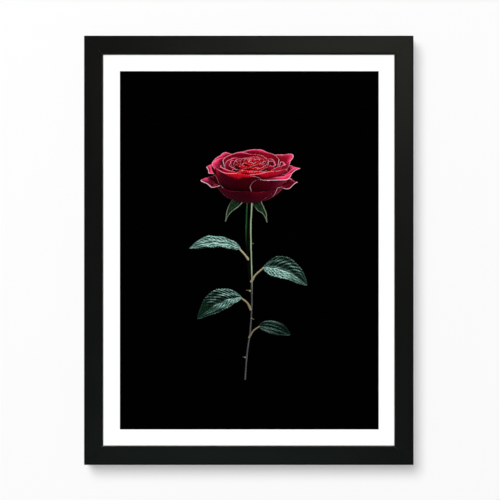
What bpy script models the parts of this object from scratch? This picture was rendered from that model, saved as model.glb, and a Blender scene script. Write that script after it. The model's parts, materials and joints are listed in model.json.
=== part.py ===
"""Framed art print: a black wooden wall frame with glass over a white-bordered print.

Metres, +Z up. The picture faces -Y and the wall is the plane y = 0. The origin is the point of
the wall where a nail meets the middle notch of the toothed hanger. The four mitred rails hold
glass, print and backing board in a deep rebate. Flexible steel points driven into the rebate's
wall keep the board in, V nails tie the mitres, and four pads keep the frame off the wall.
"""

import math

import bmesh
import bpy
from mathutils import Matrix, Vector

MM = 0.001

# Driving dimensions. The sheet of paper sets every other width and height.
PRINT_WIDTH = 300 * MM
PRINT_HEIGHT = 400 * MM
PRINT_THICKNESS = 0.3 * MM
GLASS_THICKNESS = 2.0 * MM
BOARD_THICKNESS = 2.5 * MM

RAIL_FACE = 19 * MM  # width of the black face seen from the front
RAIL_DEPTH = 25 * MM
LIP_THICKNESS = 4 * MM
LIP_OVERLAP = 4 * MM  # how far the lip covers the edge of the print
REBATE_PLAY = 1 * MM  # between the print's edge and the rebate's wall
ARRIS = 0.8 * MM  # chamfer on the rail's long edges
CLEARANCE = 0.3 * MM  # between pieces that touch

PAD_THICKNESS = 3 * MM
PAD_RADIUS = 5 * MM
PAD_ROUNDING = 0.8 * MM
PAD_SPACING = 276 * MM

NAIL_THICKNESS = 0.6 * MM
NAIL_DEPTH = 9 * MM
NAIL_HALF_LENGTH = 1.6 * MM  # along the mitre
NAIL_HALF_WIDTH = 2.6 * MM  # across the mitre
NAILS_FROM_CORNER = (8 * MM, 14 * MM)

POINT_THICKNESS = 0.5 * MM
POINT_WIDTH = 6.5 * MM
POINT_IN_WOOD = 6 * MM
POINT_FLAT_REACH = 6 * MM  # from the rebate's wall to the bend
POINT_BENT_REACH = 4 * MM
POINT_LIFT = 1 * MM  # how far the bent end stands away from the board
POINT_SPACING = 100 * MM
POINTS_ACROSS = 3
POINTS_UP = 4

HANGER_LENGTH = 45 * MM
HANGER_HEIGHT = 8 * MM
HANGER_THICKNESS = 0.8 * MM
HANGER_EAR = 8 * MM
HANGER_SLOPE = 2.5 * MM
HANGER_SETBACK = 0.5 * MM  # from its raised middle to the wall
TOOTH_PITCH = 3 * MM
TOOTH_DEPTH = 1.6 * MM
NOTCH_COUNT = 7  # odd, so that one notch is in the middle

SCREW_SPACING = 37 * MM
SCREW_SHANK_RADIUS = 1.1 * MM
SCREW_HEAD_RADIUS = 2.4 * MM
SCREW_HEAD_HEIGHT = 1.4 * MM
SCREW_DEPTH = 9 * MM
SCREW_TIP = 2.5 * MM
CROSS_LENGTH = 2.6 * MM
CROSS_WIDTH = 0.6 * MM
CROSS_DEPTH = 0.7 * MM

ROUND_STEPS = 24

# Worked out from the driving dimensions.
SIGHT_WIDTH = PRINT_WIDTH - 2 * LIP_OVERLAP
SIGHT_HEIGHT = PRINT_HEIGHT - 2 * LIP_OVERLAP
OUTER_WIDTH = SIGHT_WIDTH + 2 * RAIL_FACE
OUTER_HEIGHT = SIGHT_HEIGHT + 2 * RAIL_FACE
REBATE_WIDTH = LIP_OVERLAP + REBATE_PLAY
WOOD_BEHIND = RAIL_FACE - REBATE_WIDTH  # width of the rail's back face
SHEET_PLAY = REBATE_PLAY / 2  # glass and board are this much larger than the print

BACK_Y = -PAD_THICKNESS
FRONT_Y = BACK_Y - RAIL_DEPTH
GLASS_Y = FRONT_Y + LIP_THICKNESS + CLEARANCE
PRINT_Y = GLASS_Y + GLASS_THICKNESS + CLEARANCE
BOARD_Y = PRINT_Y + PRINT_THICKNESS + CLEARANCE
POINT_Y = BOARD_Y + BOARD_THICKNESS + CLEARANCE

HANGER_Z = OUTER_HEIGHT / 2 - WOOD_BEHIND / 2
NOTCH_Z = HANGER_Z - HANGER_HEIGHT / 2 + TOOTH_DEPTH
EAR_Y = BACK_Y + CLEARANCE
RAISED_Y = -HANGER_SETBACK - HANGER_THICKNESS


def clear_scene():
    """Removes the objects that the scene opened with."""
    for found in list(bpy.data.objects):
        bpy.data.objects.remove(found)


def material(name, colour, roughness, metallic=0.0, transmission=0.0):
    """A Principled material."""
    made = bpy.data.materials.new(name)
    made.use_nodes = True
    shader = made.node_tree.nodes["Principled BSDF"]
    shader.inputs["Base Color"].default_value = (*colour, 1)
    shader.inputs["Roughness"].default_value = roughness
    shader.inputs["Metallic"].default_value = metallic
    shader.inputs["Transmission Weight"].default_value = transmission
    return made


def empty(name, parent=None, location=(0, 0, 0), turn=0.0):
    """A named empty, turned about Y, that other pieces hang from."""
    made = bpy.data.objects.new(name, None)
    bpy.context.scene.collection.objects.link(made)
    made.parent = parent
    made.location = location
    made.rotation_euler = (0, turn, 0)
    return made


def solid(name, shape, parent, finish=None, location=(0, 0, 0), smooth=False):
    """Turns a bmesh into a named object."""
    mesh = bpy.data.meshes.new(name)
    shape.to_mesh(mesh)
    shape.free()
    made = bpy.data.objects.new(name, mesh)
    bpy.context.scene.collection.objects.link(made)
    made.parent = parent
    made.location = location
    if finish:
        mesh.materials.append(finish)
    if smooth:
        mesh.shade_smooth()
        mesh.set_sharp_from_angle(angle=math.radians(35))
    return made


def cutter(name, shape, parent, location=(0, 0, 0)):
    """An object that only cuts others."""
    made = solid(name, shape, parent, location=location)
    made.hide_render = True
    made.display_type = "WIRE"
    return made


def cut(piece, tool):
    """Cuts the tool's shape out of the piece."""
    modifier = piece.modifiers.new(tool.name, "BOOLEAN")
    modifier.operation = "DIFFERENCE"
    modifier.object = tool


def add_block(shape, low, high):
    """Adds a closed box between two corners to a bmesh."""
    size = [b - a for a, b in zip(low, high)]
    middle = [(a + b) / 2 for a, b in zip(low, high)]
    made = bmesh.ops.create_cube(shape, size=1)["verts"]
    bmesh.ops.scale(shape, vec=size, verts=made)
    bmesh.ops.translate(shape, vec=middle, verts=made)


def block(low, high):
    """A closed box between two corners."""
    shape = bmesh.new()
    add_block(shape, low, high)
    return shape


def add_prism(shape, first, last):
    """Adds a closed body whose two ends are matching outlines of 3-D points."""
    ends = [[shape.verts.new(point) for point in end] for end in (first, last)]
    faces = [shape.faces.new(end) for end in ends]
    for i in range(len(first)):
        j = (i + 1) % len(first)
        faces.append(shape.faces.new((ends[0][i], ends[0][j], ends[1][j], ends[1][i])))
    bmesh.ops.recalc_face_normals(shape, faces=faces)


def prism(first, last):
    """A closed body whose two ends are matching outlines of 3-D points."""
    shape = bmesh.new()
    add_prism(shape, first, last)
    return shape


def spun(profile):
    """A body turned about Y from (radius, y) points that start and end on the axis."""
    shape = bmesh.new()
    points = [shape.verts.new((radius, y, 0)) for radius, y in profile]
    edges = [shape.edges.new(pair) for pair in zip(points, points[1:])]
    bmesh.ops.spin(
        shape, geom=points + edges, axis=(0, 1, 0), angle=math.tau, steps=ROUND_STEPS
    )
    bmesh.ops.remove_doubles(shape, verts=shape.verts, dist=0.001 * MM)
    bmesh.ops.recalc_face_normals(shape, faces=shape.faces)
    return shape


def strip_outline(path, thickness):
    """The closed outline of a strip of even thickness along a path of 2-D points."""
    path = [Vector(point) for point in path]
    runs = [(b - a).normalized() for a, b in zip(path, path[1:])]
    sides = []
    for before, after in zip([runs[0], *runs], [*runs, runs[-1]]):
        across = Vector((-(before + after).y, (before + after).x)).normalized()
        lean = across.dot(Vector((-before.y, before.x)))
        sides.append(across * thickness / 2 / lean)
    left = [point + side for point, side in zip(path, sides)]
    right = [point - side for point, side in zip(path, sides)]
    return left + right[::-1]


def rail_profile():
    """The rail's section as (inward distance from the outer edge, y)."""
    return [
        (ARRIS, FRONT_Y),
        (RAIL_FACE - ARRIS, FRONT_Y),
        (RAIL_FACE, FRONT_Y + ARRIS),
        (RAIL_FACE, FRONT_Y + LIP_THICKNESS),
        (WOOD_BEHIND, FRONT_Y + LIP_THICKNESS),
        (WOOD_BEHIND, BACK_Y),
        (ARRIS, BACK_Y),
        (0, BACK_Y - ARRIS),
        (0, FRONT_Y + ARRIS),
    ]


def mitred_rail(half_length):
    """A rail along X whose outer edge is at z = 0, with both ends cut at 45 degrees."""
    short = CLEARANCE / 2 * math.sqrt(2)

    def end(sign):
        return [
            (sign * (half_length - short - inward), y, -inward)
            for inward, y in rail_profile()
        ]

    return prism(end(-1), end(1))


def v_nail_ends(half_length, from_corner, thickness, low_y, high_y):
    """The two end outlines of a V nail across the mitre at the rail's +X end."""
    along = Vector((-1, -1)).normalized()
    across = Vector((1, -1)).normalized()
    middle = Vector((half_length, 0)) + along * from_corner
    wing = middle - along * NAIL_HALF_LENGTH
    path = (
        wing + across * NAIL_HALF_WIDTH,
        middle + along * NAIL_HALF_LENGTH,
        wing - across * NAIL_HALF_WIDTH,
    )
    outline = strip_outline(path, thickness)
    return [[(x, y, z) for x, z in outline] for y in (low_y, high_y)]


def add_v_nails(name, side, half_length, steel):
    """The V nails of one mitre, and the tool that cuts their slots."""
    slots = bmesh.new()
    low, high = BACK_Y - CLEARANCE - NAIL_DEPTH, BACK_Y - CLEARANCE
    for number, from_corner in enumerate(NAILS_FROM_CORNER, 1):
        ends = v_nail_ends(half_length, from_corner, NAIL_THICKNESS, low, high)
        solid(f"v_nail_{name}_{number}", prism(*ends), side, steel)
        slot = v_nail_ends(
            half_length,
            from_corner,
            NAIL_THICKNESS + 2 * CLEARANCE,
            low - CLEARANCE,
            BACK_Y + NAIL_THICKNESS,
        )
        add_prism(slots, *slot)
    return cutter(f"v_nail_slots_{name}", slots, side)


def point_body():
    """One steel point, its middle at x = 0, lying across the rebate's wall at z = 0."""
    half = POINT_THICKNESS / 2
    path = (
        (POINT_IN_WOOD, POINT_Y + half),
        (-POINT_FLAT_REACH, POINT_Y + half),
        (-POINT_FLAT_REACH - POINT_BENT_REACH, POINT_Y + half + POINT_LIFT),
    )
    outline = strip_outline(path, POINT_THICKNESS)
    ends = (-POINT_WIDTH / 2, POINT_WIDTH / 2)
    return prism(*[[(x, y, z) for z, y in outline] for x in ends])


def add_points(name, side, count, steel):
    """The steel points along one rail, and the tool that cuts their slots."""
    slots = bmesh.new()
    half = POINT_WIDTH / 2 + CLEARANCE
    for number in range(count):
        x = (number - (count - 1) / 2) * POINT_SPACING
        solid(
            f"point_{name}_{number + 1}",
            point_body(),
            side,
            steel,
            location=(x, 0, -WOOD_BEHIND),
        )
        add_block(
            slots,
            (x - half, POINT_Y - CLEARANCE, -WOOD_BEHIND - REBATE_PLAY),
            (
                x + half,
                POINT_Y + POINT_THICKNESS + CLEARANCE,
                -WOOD_BEHIND + POINT_IN_WOOD + CLEARANCE,
            ),
        )
    return cutter(f"point_slots_{name}", slots, side)


def sheet(name, thickness, front_y, play, picture, finish):
    """A flat sheet in the rebate: glass, print or board."""
    half_width, half_height = PRINT_WIDTH / 2 + play, PRINT_HEIGHT / 2 + play
    low = (-half_width, front_y, -half_height)
    high = (half_width, front_y + thickness, half_height)
    return solid(name, block(low, high), picture, finish)


def hanger_plate(picture, zinc):
    """The toothed hanger: a strip with two flat ears and a raised, toothed middle."""
    half = HANGER_THICKNESS / 2
    ear_end = HANGER_LENGTH / 2 - HANGER_EAR
    raised_end = ear_end - HANGER_SLOPE
    right = (
        (raised_end, RAISED_Y + half),
        (ear_end, EAR_Y + half),
        (HANGER_LENGTH / 2, EAR_Y + half),
    )
    path = [(-x, y) for x, y in reversed(right)] + list(right)
    outline = strip_outline(path, HANGER_THICKNESS)
    low, high = HANGER_Z - HANGER_HEIGHT / 2, HANGER_Z + HANGER_HEIGHT / 2
    plate = solid(
        "hanger_plate",
        prism(*[[(x, y, z) for x, y in outline] for z in (low, high)]),
        picture,
        zinc,
    )
    notches = bmesh.new()
    mouth = TOOTH_PITCH / 2
    for number in range(NOTCH_COUNT):
        x = (number - (NOTCH_COUNT - 1) / 2) * TOOTH_PITCH
        corners = ((x - mouth, low - CLEARANCE), (x + mouth, low - CLEARANCE), (x, NOTCH_Z))
        add_prism(notches, *[[(a, y, b) for a, b in corners] for y in (EAR_Y, 0)])
    cut(plate, cutter("hanger_notches", notches, picture))
    return plate


def drill(name, radius, low_y, high_y, x, picture):
    """A round cutting tool along Y at the height of the hanger's screws."""
    bore = spun([(0, low_y), (radius, low_y), (radius, high_y), (0, high_y)])
    return cutter(name, bore, picture, location=(x, 0, HANGER_Z))


def cross_outline(y):
    """The plus-shaped outline of a screw's recess at one depth."""
    long, short = CROSS_LENGTH / 2, CROSS_WIDTH / 2
    outline = []
    for quarter in range(4):
        turn = Matrix.Rotation(quarter * math.pi / 2, 2)
        for corner in ((-long, -short), (-short, -short), (-short, -long)):
            across, up = turn @ Vector(corner)
            outline.append((across, y, up))
    return outline


def add_screw(name, x, picture, plate, rail, zinc):
    """A pan-head wood screw through an ear of the hanger into the top rail."""
    seat = EAR_Y + HANGER_THICKNESS + CLEARANCE
    tip = BACK_Y - SCREW_DEPTH
    top = seat + SCREW_HEAD_HEIGHT
    rounded = [
        (
            SCREW_HEAD_RADIUS * math.cos(turn),
            seat + SCREW_HEAD_HEIGHT * (0.4 + 0.6 * math.sin(turn)),
        )
        for turn in (math.radians(angle) for angle in range(0, 90, 15))
    ]
    profile = [
        (0, tip),
        (SCREW_SHANK_RADIUS, tip + SCREW_TIP),
        (SCREW_SHANK_RADIUS, seat),
        (SCREW_HEAD_RADIUS, seat),
        *rounded,
        (0, top),
    ]
    screw = solid(
        f"hanger_screw_{name}", spun(profile), picture, zinc, (x, 0, HANGER_Z), True
    )
    recess = prism(*[cross_outline(y) for y in (top - CROSS_DEPTH, top + CLEARANCE)])
    cut(screw, cutter(f"cross_{name}", recess, picture, (x, 0, HANGER_Z)))

    bore = SCREW_SHANK_RADIUS + CLEARANCE
    cut(plate, drill(f"ear_hole_{name}", bore, BACK_Y, 0, x, picture))
    cut(rail, drill(f"pilot_{name}", bore, tip - CLEARANCE, 0, x, picture))


def add_pads(picture, rubber):
    """Four round pads on the backs of the top and bottom rails."""
    foot = BACK_Y + CLEARANCE
    rounded = [
        (
            PAD_RADIUS - PAD_ROUNDING * (1 - math.cos(turn)),
            -PAD_ROUNDING * (1 - math.sin(turn)),
        )
        for turn in (math.radians(angle) for angle in range(0, 91, 30))
    ]
    profile = [(0, foot), (PAD_RADIUS, foot), *rounded, (0, 0)]
    height = OUTER_HEIGHT / 2 - WOOD_BEHIND / 2
    for level, z in (("top", height), ("bottom", -height)):
        for hand, x in (("left", -PAD_SPACING / 2), ("right", PAD_SPACING / 2)):
            solid(f"wall_pad_{level}_{hand}", spun(profile), picture, rubber, (x, 0, z), True)


def build():
    """Builds the whole framed print."""
    clear_scene()
    black = material("black_wood", (0.012, 0.012, 0.011), 0.45)
    glass = material("glass", (1, 1, 1), 0.02, transmission=1.0)
    paper = material("print_paper", (0.9, 0.9, 0.9), 0.6)
    fibreboard = material("fibreboard", (0.36, 0.22, 0.12), 0.8)
    zinc = material("zinc_steel", (0.6, 0.6, 0.6), 0.35, metallic=1.0)
    steel = material("dark_steel", (0.25, 0.25, 0.26), 0.4, metallic=1.0)
    rubber = material("pad_rubber", (0.05, 0.05, 0.05), 0.7)

    picture = empty("picture", location=(0, 0, -NOTCH_Z))
    across, up = OUTER_WIDTH / 2, OUTER_HEIGHT / 2
    sides = (
        ("top", across, (0, 0, up), POINTS_ACROSS, "top_right"),
        ("right", up, (across, 0, 0), POINTS_UP, "bottom_right"),
        ("bottom", across, (0, 0, -up), POINTS_ACROSS, "bottom_left"),
        ("left", up, (-across, 0, 0), POINTS_UP, "top_left"),
    )
    rails, mitre_slots = [], []
    for quarter, (name, half_length, place, points, corner) in enumerate(sides):
        side = empty(f"side_{name}", picture, place, quarter * math.pi / 2)
        rail = solid(f"rail_{name}", mitred_rail(half_length), side, black)
        cut(rail, add_points(name, side, points, steel))
        mitre_slots.append(add_v_nails(corner, side, half_length, steel))
        rails.append(rail)
    for quarter, rail in enumerate(rails):
        cut(rail, mitre_slots[quarter])
        cut(rail, mitre_slots[quarter - 1])

    sheet("glass", GLASS_THICKNESS, GLASS_Y, SHEET_PLAY, picture, glass)
    sheet("print_sheet", PRINT_THICKNESS, PRINT_Y, 0, picture, paper)
    sheet("backing_board", BOARD_THICKNESS, BOARD_Y, SHEET_PLAY, picture, fibreboard)

    plate = hanger_plate(picture, zinc)
    add_screw("left", -SCREW_SPACING / 2, picture, plate, rails[0], zinc)
    add_screw("right", SCREW_SPACING / 2, picture, plate, rails[0], zinc)
    add_pads(picture, rubber)


build()
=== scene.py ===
"""Looks of a framed flower print: black moulding, glass, rose print, backing and steel fittings.

Lengths are in metres and in the shared frame: the picture faces -Y, the wall is the plane y = 0,
and the origin is the nail's place at the hanger. The printed flower is worked out in millimetres
on the picture's own axes: right, away from the viewer, and up, from the picture's centre.
"""

import json
import logging
import math
from dataclasses import dataclass
from enum import Enum

import bmesh
import bpy
import numpy as np
from mathutils import Matrix, Quaternion, Vector
from mathutils.bvhtree import BVHTree

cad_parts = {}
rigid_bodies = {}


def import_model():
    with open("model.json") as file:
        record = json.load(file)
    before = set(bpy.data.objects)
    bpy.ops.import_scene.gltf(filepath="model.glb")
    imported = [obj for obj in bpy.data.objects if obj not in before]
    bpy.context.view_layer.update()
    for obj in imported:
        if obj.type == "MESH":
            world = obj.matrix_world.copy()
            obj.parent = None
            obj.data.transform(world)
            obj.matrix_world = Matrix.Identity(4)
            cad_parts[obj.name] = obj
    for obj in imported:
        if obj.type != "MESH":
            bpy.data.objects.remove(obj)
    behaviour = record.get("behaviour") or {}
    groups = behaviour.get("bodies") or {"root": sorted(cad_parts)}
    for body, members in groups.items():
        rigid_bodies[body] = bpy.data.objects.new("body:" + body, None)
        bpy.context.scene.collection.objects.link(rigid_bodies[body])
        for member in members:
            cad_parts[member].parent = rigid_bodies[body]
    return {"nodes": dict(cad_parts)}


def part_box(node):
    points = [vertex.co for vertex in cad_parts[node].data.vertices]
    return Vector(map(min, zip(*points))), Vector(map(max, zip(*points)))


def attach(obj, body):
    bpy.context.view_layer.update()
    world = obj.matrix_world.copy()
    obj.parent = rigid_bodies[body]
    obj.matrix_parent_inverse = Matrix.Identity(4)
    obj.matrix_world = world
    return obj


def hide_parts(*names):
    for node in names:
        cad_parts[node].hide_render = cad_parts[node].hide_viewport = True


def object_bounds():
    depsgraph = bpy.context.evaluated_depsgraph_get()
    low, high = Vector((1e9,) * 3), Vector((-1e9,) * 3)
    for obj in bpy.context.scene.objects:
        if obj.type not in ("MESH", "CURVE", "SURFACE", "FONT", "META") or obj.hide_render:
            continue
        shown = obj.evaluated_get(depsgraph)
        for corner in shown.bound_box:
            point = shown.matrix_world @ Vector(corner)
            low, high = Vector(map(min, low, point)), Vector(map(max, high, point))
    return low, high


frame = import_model()
CAD_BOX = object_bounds()

LOG = logging.getLogger("framed_print")
MM = 0.001
WELD = 0.001 * MM  # corners closer than this are one corner
Triple = tuple[float, float, float]  # a colour, a place or a direction


# ---------------------------------------------------------------------------------------------
# Helpers for meshes and nodes
# ---------------------------------------------------------------------------------------------


def srgb(red: float, green: float, blue: float) -> Triple:
    """Turns a display colour of 0 to 255 a channel into linear light.

    Args:
        red: Red, 0 to 255.
        green: Green, 0 to 255.
        blue: Blue, 0 to 255.

    Returns:
        The linear red, green and blue, 0 to 1.
    """
    shares = (channel / 255 for channel in (red, green, blue))
    return tuple(s / 12.92 if s <= 0.04045 else ((s + 0.055) / 1.055) ** 2.4 for s in shares)


def smooth(low: float, high: float, value: np.ndarray) -> np.ndarray:
    """Eases from 0 at low to 1 at high.

    Args:
        low: Where the ramp starts.
        high: Where the ramp ends; it may be less than low.
        value: The values to ease.

    Returns:
        An array of shares between 0 and 1.
    """
    share = np.clip((value - low) / (high - low), 0, 1)
    return share * share * (3 - 2 * share)


def times(amount: np.ndarray, colour: Triple) -> np.ndarray:
    """Gives each point a colour, scaled by its amount."""
    return amount[:, None] * np.array(colour)[None, :]


def unit(vectors: np.ndarray) -> np.ndarray:
    """Scales vectors along the last axis to length 1."""
    return vectors / np.maximum(np.linalg.norm(vectors, axis=-1, keepdims=True), 1e-9)


def linked(name: str, data: bpy.types.ID) -> bpy.types.Object:
    """Puts a mesh, a light or a camera into the scene as an object.

    Args:
        name: The object's name.
        data: Its mesh, light or camera.

    Returns:
        The new object.
    """
    made = bpy.data.objects.new(name, data)
    bpy.context.scene.collection.objects.link(made)
    return made


def riding(name: str, mesh: bpy.types.Mesh) -> bpy.types.Object:
    """Puts a mesh into the scene as a piece that rides on the frame's body.

    Args:
        name: The piece's name.
        mesh: Its mesh.

    Returns:
        The new piece.
    """
    made = linked(name, mesh)
    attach(made, "root")
    return made


def mesh_from(name: str, shape: bmesh.types.BMesh) -> bpy.types.Mesh:
    """Turns a bmesh into a mesh and frees it.

    Args:
        name: The mesh's name.
        shape: The bmesh.

    Returns:
        The mesh.
    """
    mesh = bpy.data.meshes.new(name)
    shape.to_mesh(mesh)
    shape.free()
    return mesh


def settle(piece: bpy.types.Object) -> None:
    """Applies every modifier on a piece.

    Args:
        piece: The object whose modifiers become its mesh.
    """
    graph = bpy.context.evaluated_depsgraph_get()
    mesh = bpy.data.meshes.new_from_object(piece.evaluated_get(graph))
    piece.modifiers.clear()
    piece.data = mesh


def cut_away(piece: bpy.types.Object, shape: bmesh.types.BMesh) -> None:
    """Cuts a closed shape out of a piece.

    Args:
        piece: The piece.
        shape: The shape to cut away, which is used up.
    """
    tool = linked("cutter", mesh_from("cutter", shape))
    cut = piece.modifiers.new("cut", "BOOLEAN")
    cut.operation, cut.solver, cut.object = "DIFFERENCE", "EXACT", tool
    settle(piece)
    bpy.data.objects.remove(tool)


def ease_edges(piece: bpy.types.Object, width: float, segments: int = 2) -> None:
    """Rounds a piece's sharp edges and shades it smoothly.

    Args:
        piece: The object.
        width: The rounding's width, in metres.
        segments: How many facets the rounding has.
    """
    bevel = piece.modifiers.new("eased", "BEVEL")
    bevel.width = width
    bevel.segments = segments
    bevel.limit_method = "ANGLE"
    bevel.angle_limit = math.radians(30)
    bevel.harden_normals = True
    piece.data.shade_smooth()
    settle(piece)


def add_prism(shape: bmesh.types.BMesh, first: list, last: list) -> list:
    """Adds a closed body whose two ends are matching outlines.

    Args:
        shape: The bmesh to add to.
        first: One end's 3-D points, in order.
        last: The other end's points, in the same order.

    Returns:
        The new faces: the two ends, then the sides in the outline's order.
    """
    ends = [[shape.verts.new(point) for point in end] for end in (first, last)]
    faces = [shape.faces.new(end) for end in ends]
    for i in range(len(first)):
        j = (i + 1) % len(first)
        faces.append(shape.faces.new((ends[0][i], ends[0][j], ends[1][j], ends[1][i])))
    bmesh.ops.recalc_face_normals(shape, faces=faces)
    return faces


def upright_rings(low: Vector, high: Vector) -> list:
    """Gives the front and the back outline of an upright box.

    Args:
        low: The box's lowest corner.
        high: Its highest corner.

    Returns:
        Two lists of four points, each from the bottom left and on to the bottom right.
    """
    corners = ((low.x, low.z), (high.x, low.z), (high.x, high.z), (low.x, high.z))
    return [[(x, y, z) for x, z in corners] for y in (low.y, high.y)]


def rounded_outline(corners: list, radii: list, steps: int = 5) -> list:
    """Rounds the corners of a closed 2-D outline with arcs.

    Args:
        corners: The outline's corners, in order.
        radii: A radius for each corner; 0 leaves it sharp.
        steps: How many segments an arc has.

    Returns:
        The rounded outline's points.
    """
    points = []
    count = len(corners)
    for i, (corner, radius) in enumerate(zip(corners, radii)):
        here = Vector(corner)
        if radius == 0:
            points.append(tuple(here))
            continue
        before = (Vector(corners[i - 1]) - here).normalized()
        after = (Vector(corners[(i + 1) % count]) - here).normalized()
        half = before.angle(after) / 2
        centre = here + (before + after).normalized() * radius / math.sin(half)
        start = here + before * radius / math.tan(half) - centre
        end = here + after * radius / math.tan(half) - centre
        for step in range(steps + 1):
            spoke = start.slerp(end, step / steps) * radius
            points.append(tuple(centre + spoke))
    return points


class Nodes:
    """A short way to write a material's node tree."""

    def __init__(self, name: str) -> None:
        """Starts a material with its Principled shader.

        Args:
            name: The material's name.
        """
        self.material = bpy.data.materials.new(name)
        self.material.use_nodes = True
        self.tree = self.material.node_tree
        self.shader = self.tree.nodes["Principled BSDF"]
        self.output = self.tree.nodes["Material Output"]

    def add(self, kind: str, **settings: object) -> bpy.types.Node:
        """Adds a node.

        Args:
            kind: The node's type name.
            settings: Its properties.

        Returns:
            The node.
        """
        node = self.tree.nodes.new(kind)
        for key, value in settings.items():
            setattr(node, key, value)
        return node

    def put(self, source: object, socket: bpy.types.NodeSocket) -> None:
        """Links a socket, or sets a value, into an input socket.

        Args:
            source: An output socket or a value.
            socket: The input socket.
        """
        if isinstance(source, bpy.types.NodeSocket):
            self.tree.links.new(source, socket)
        else:
            socket.default_value = source

    def sums(self, operation: str, *terms: object) -> bpy.types.NodeSocket:
        """Works out one sum.

        Args:
            operation: A Math node's operation.
            terms: The numbers or sockets that it takes, in order.

        Returns:
            The result's socket.
        """
        node = self.add("ShaderNodeMath", operation=operation)
        for term, socket in zip(terms, node.inputs):
            self.put(term, socket)
        return node.outputs[0]

    def ramp(self, value: object, low: float, high: float, start: float, end: float) -> bpy.types.NodeSocket:
        """Maps a range of values onto another, clamped.

        Args:
            value: The value's socket.
            low: The input at the start.
            high: The input at the end.
            start: The result at low.
            end: The result at high.

        Returns:
            The result's socket.
        """
        node = self.add("ShaderNodeMapRange")
        for socket, source in zip(node.inputs, (value, low, high, start, end)):
            self.put(source, socket)
        return node.outputs[0]

    def mixed(self, share: object, first: object, second: object, blend: str = "MIX") -> bpy.types.NodeSocket:
        """Mixes two colours.

        Args:
            share: How much of the second colour, 0 to 1.
            first: The first colour or socket.
            second: The second colour or socket.
            blend: The Mix node's blend type.

        Returns:
            The mixed colour's socket.
        """
        node = self.add("ShaderNodeMix", data_type="RGBA", blend_type=blend)
        self.put(share, node.inputs["Factor"])
        for socket, source in ((node.inputs[6], first), (node.inputs[7], second)):
            self.put((*source, 1) if isinstance(source, tuple) and len(source) == 3 else source, socket)
        return node.outputs[2]

    def layered(self, share: object, first: object, second: object) -> bpy.types.NodeSocket:
        """Mixes two shaders.

        Args:
            share: How much of the second shader, 0 to 1.
            first: The first shader's socket.
            second: The second shader's socket.

        Returns:
            The mixed shader's socket.
        """
        node = self.add("ShaderNodeMixShader")
        for source, socket in zip((share, first, second), node.inputs):
            self.put(source, socket)
        return node.outputs[0]

    def stretched(self, where: bpy.types.NodeSocket, scale: Triple) -> bpy.types.NodeSocket:
        """Stretches coordinates.

        Args:
            where: The coordinates.
            scale: How much each axis is multiplied.

        Returns:
            The stretched coordinates' socket.
        """
        mapping = self.add("ShaderNodeMapping")
        mapping.inputs["Scale"].default_value = scale
        self.put(where, mapping.inputs["Vector"])
        return mapping.outputs["Vector"]

    def place(self, scale: Triple = (1, 1, 1)) -> bpy.types.NodeSocket:
        """Gives a point's place on its object, with each axis multiplied by the scale."""
        return self.stretched(self.add("ShaderNodeTexCoord").outputs["Object"], scale)

    def attribute(self, name: str, scale: Triple) -> bpy.types.NodeSocket:
        """Gives a mesh attribute as a vector, with each axis multiplied by the scale."""
        return self.stretched(self.add("ShaderNodeAttribute", attribute_name=name).outputs["Vector"], scale)

    def noise(
        self, where: bpy.types.NodeSocket, scale: float, detail: float = 3.0, rough: float = 0.55
    ) -> bpy.types.NodeSocket:
        """Adds a noise pattern.

        Args:
            where: The coordinates.
            scale: How many features to a metre.
            detail: How many finer layers it has.
            rough: How strong the finer layers are.

        Returns:
            The noise value's socket.
        """
        node = self.add("ShaderNodeTexNoise")
        self.put(where, node.inputs["Vector"])
        node.inputs["Scale"].default_value = scale
        node.inputs["Detail"].default_value = detail
        node.inputs["Roughness"].default_value = rough
        return node.outputs["Fac"]

    def bump(self, height: bpy.types.NodeSocket, depth: float, strength: float = 1.0) -> None:
        """Drives the shader's normal with a height.

        Args:
            height: The height's socket, 0 to 1.
            depth: What a height of 1 measures, in metres.
            strength: How strong the effect is.
        """
        node = self.add("ShaderNodeBump")
        node.inputs["Strength"].default_value = strength
        node.inputs["Distance"].default_value = depth
        self.put(height, node.inputs["Height"])
        self.put(node.outputs["Normal"], self.shader.inputs["Normal"])

    def set(self, **inputs: object) -> None:
        """Sets or links the shader's inputs.

        Args:
            inputs: Sockets or values by input name; an underscore stands for a space.
        """
        for name, source in inputs.items():
            socket = self.shader.inputs[name.replace("_", " ")]
            if isinstance(source, tuple) and len(source) == 3:
                source = (*source, 1)
            self.put(source, socket)


# ---------------------------------------------------------------------------------------------
# Finishes
# ---------------------------------------------------------------------------------------------


@dataclass(frozen=True)
class StainedWood:
    """Black satin stain over fine-grained wood, with the grain along the rail."""

    light: Triple = srgb(14, 14, 12)
    dark: Triple = srgb(7, 8, 7)
    roughness: float = 0.36
    grain: Triple = (18, 900, 900)  # features to a metre, along and across the rail
    cloud: Triple = (22, 60, 60)
    grain_depth: float = 0.02 * MM

    def material(self) -> bpy.types.Material:
        """Makes the material, which reads the rail's own attribute "stock".

        Returns:
            The material.
        """
        nodes = Nodes("black_stained_wood")
        grain = nodes.noise(nodes.attribute("stock", self.grain), 1.0, 4.0, 0.6)
        cloud = nodes.noise(nodes.attribute("stock", self.cloud), 1.0, 2.0)
        share = nodes.sums("MULTIPLY_ADD", grain, 0.45, 0.05)
        share = nodes.sums("ADD", share, nodes.ramp(cloud, 0.3, 0.7, 0.0, 0.5))
        colour = nodes.mixed(share, self.dark, self.light)
        rough = nodes.ramp(grain, 0.3, 0.7, self.roughness - 0.01, self.roughness + 0.02)
        nodes.set(Base_Color=colour, Roughness=rough)
        nodes.bump(grain, self.grain_depth, 0.35)
        return nodes.material


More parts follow.
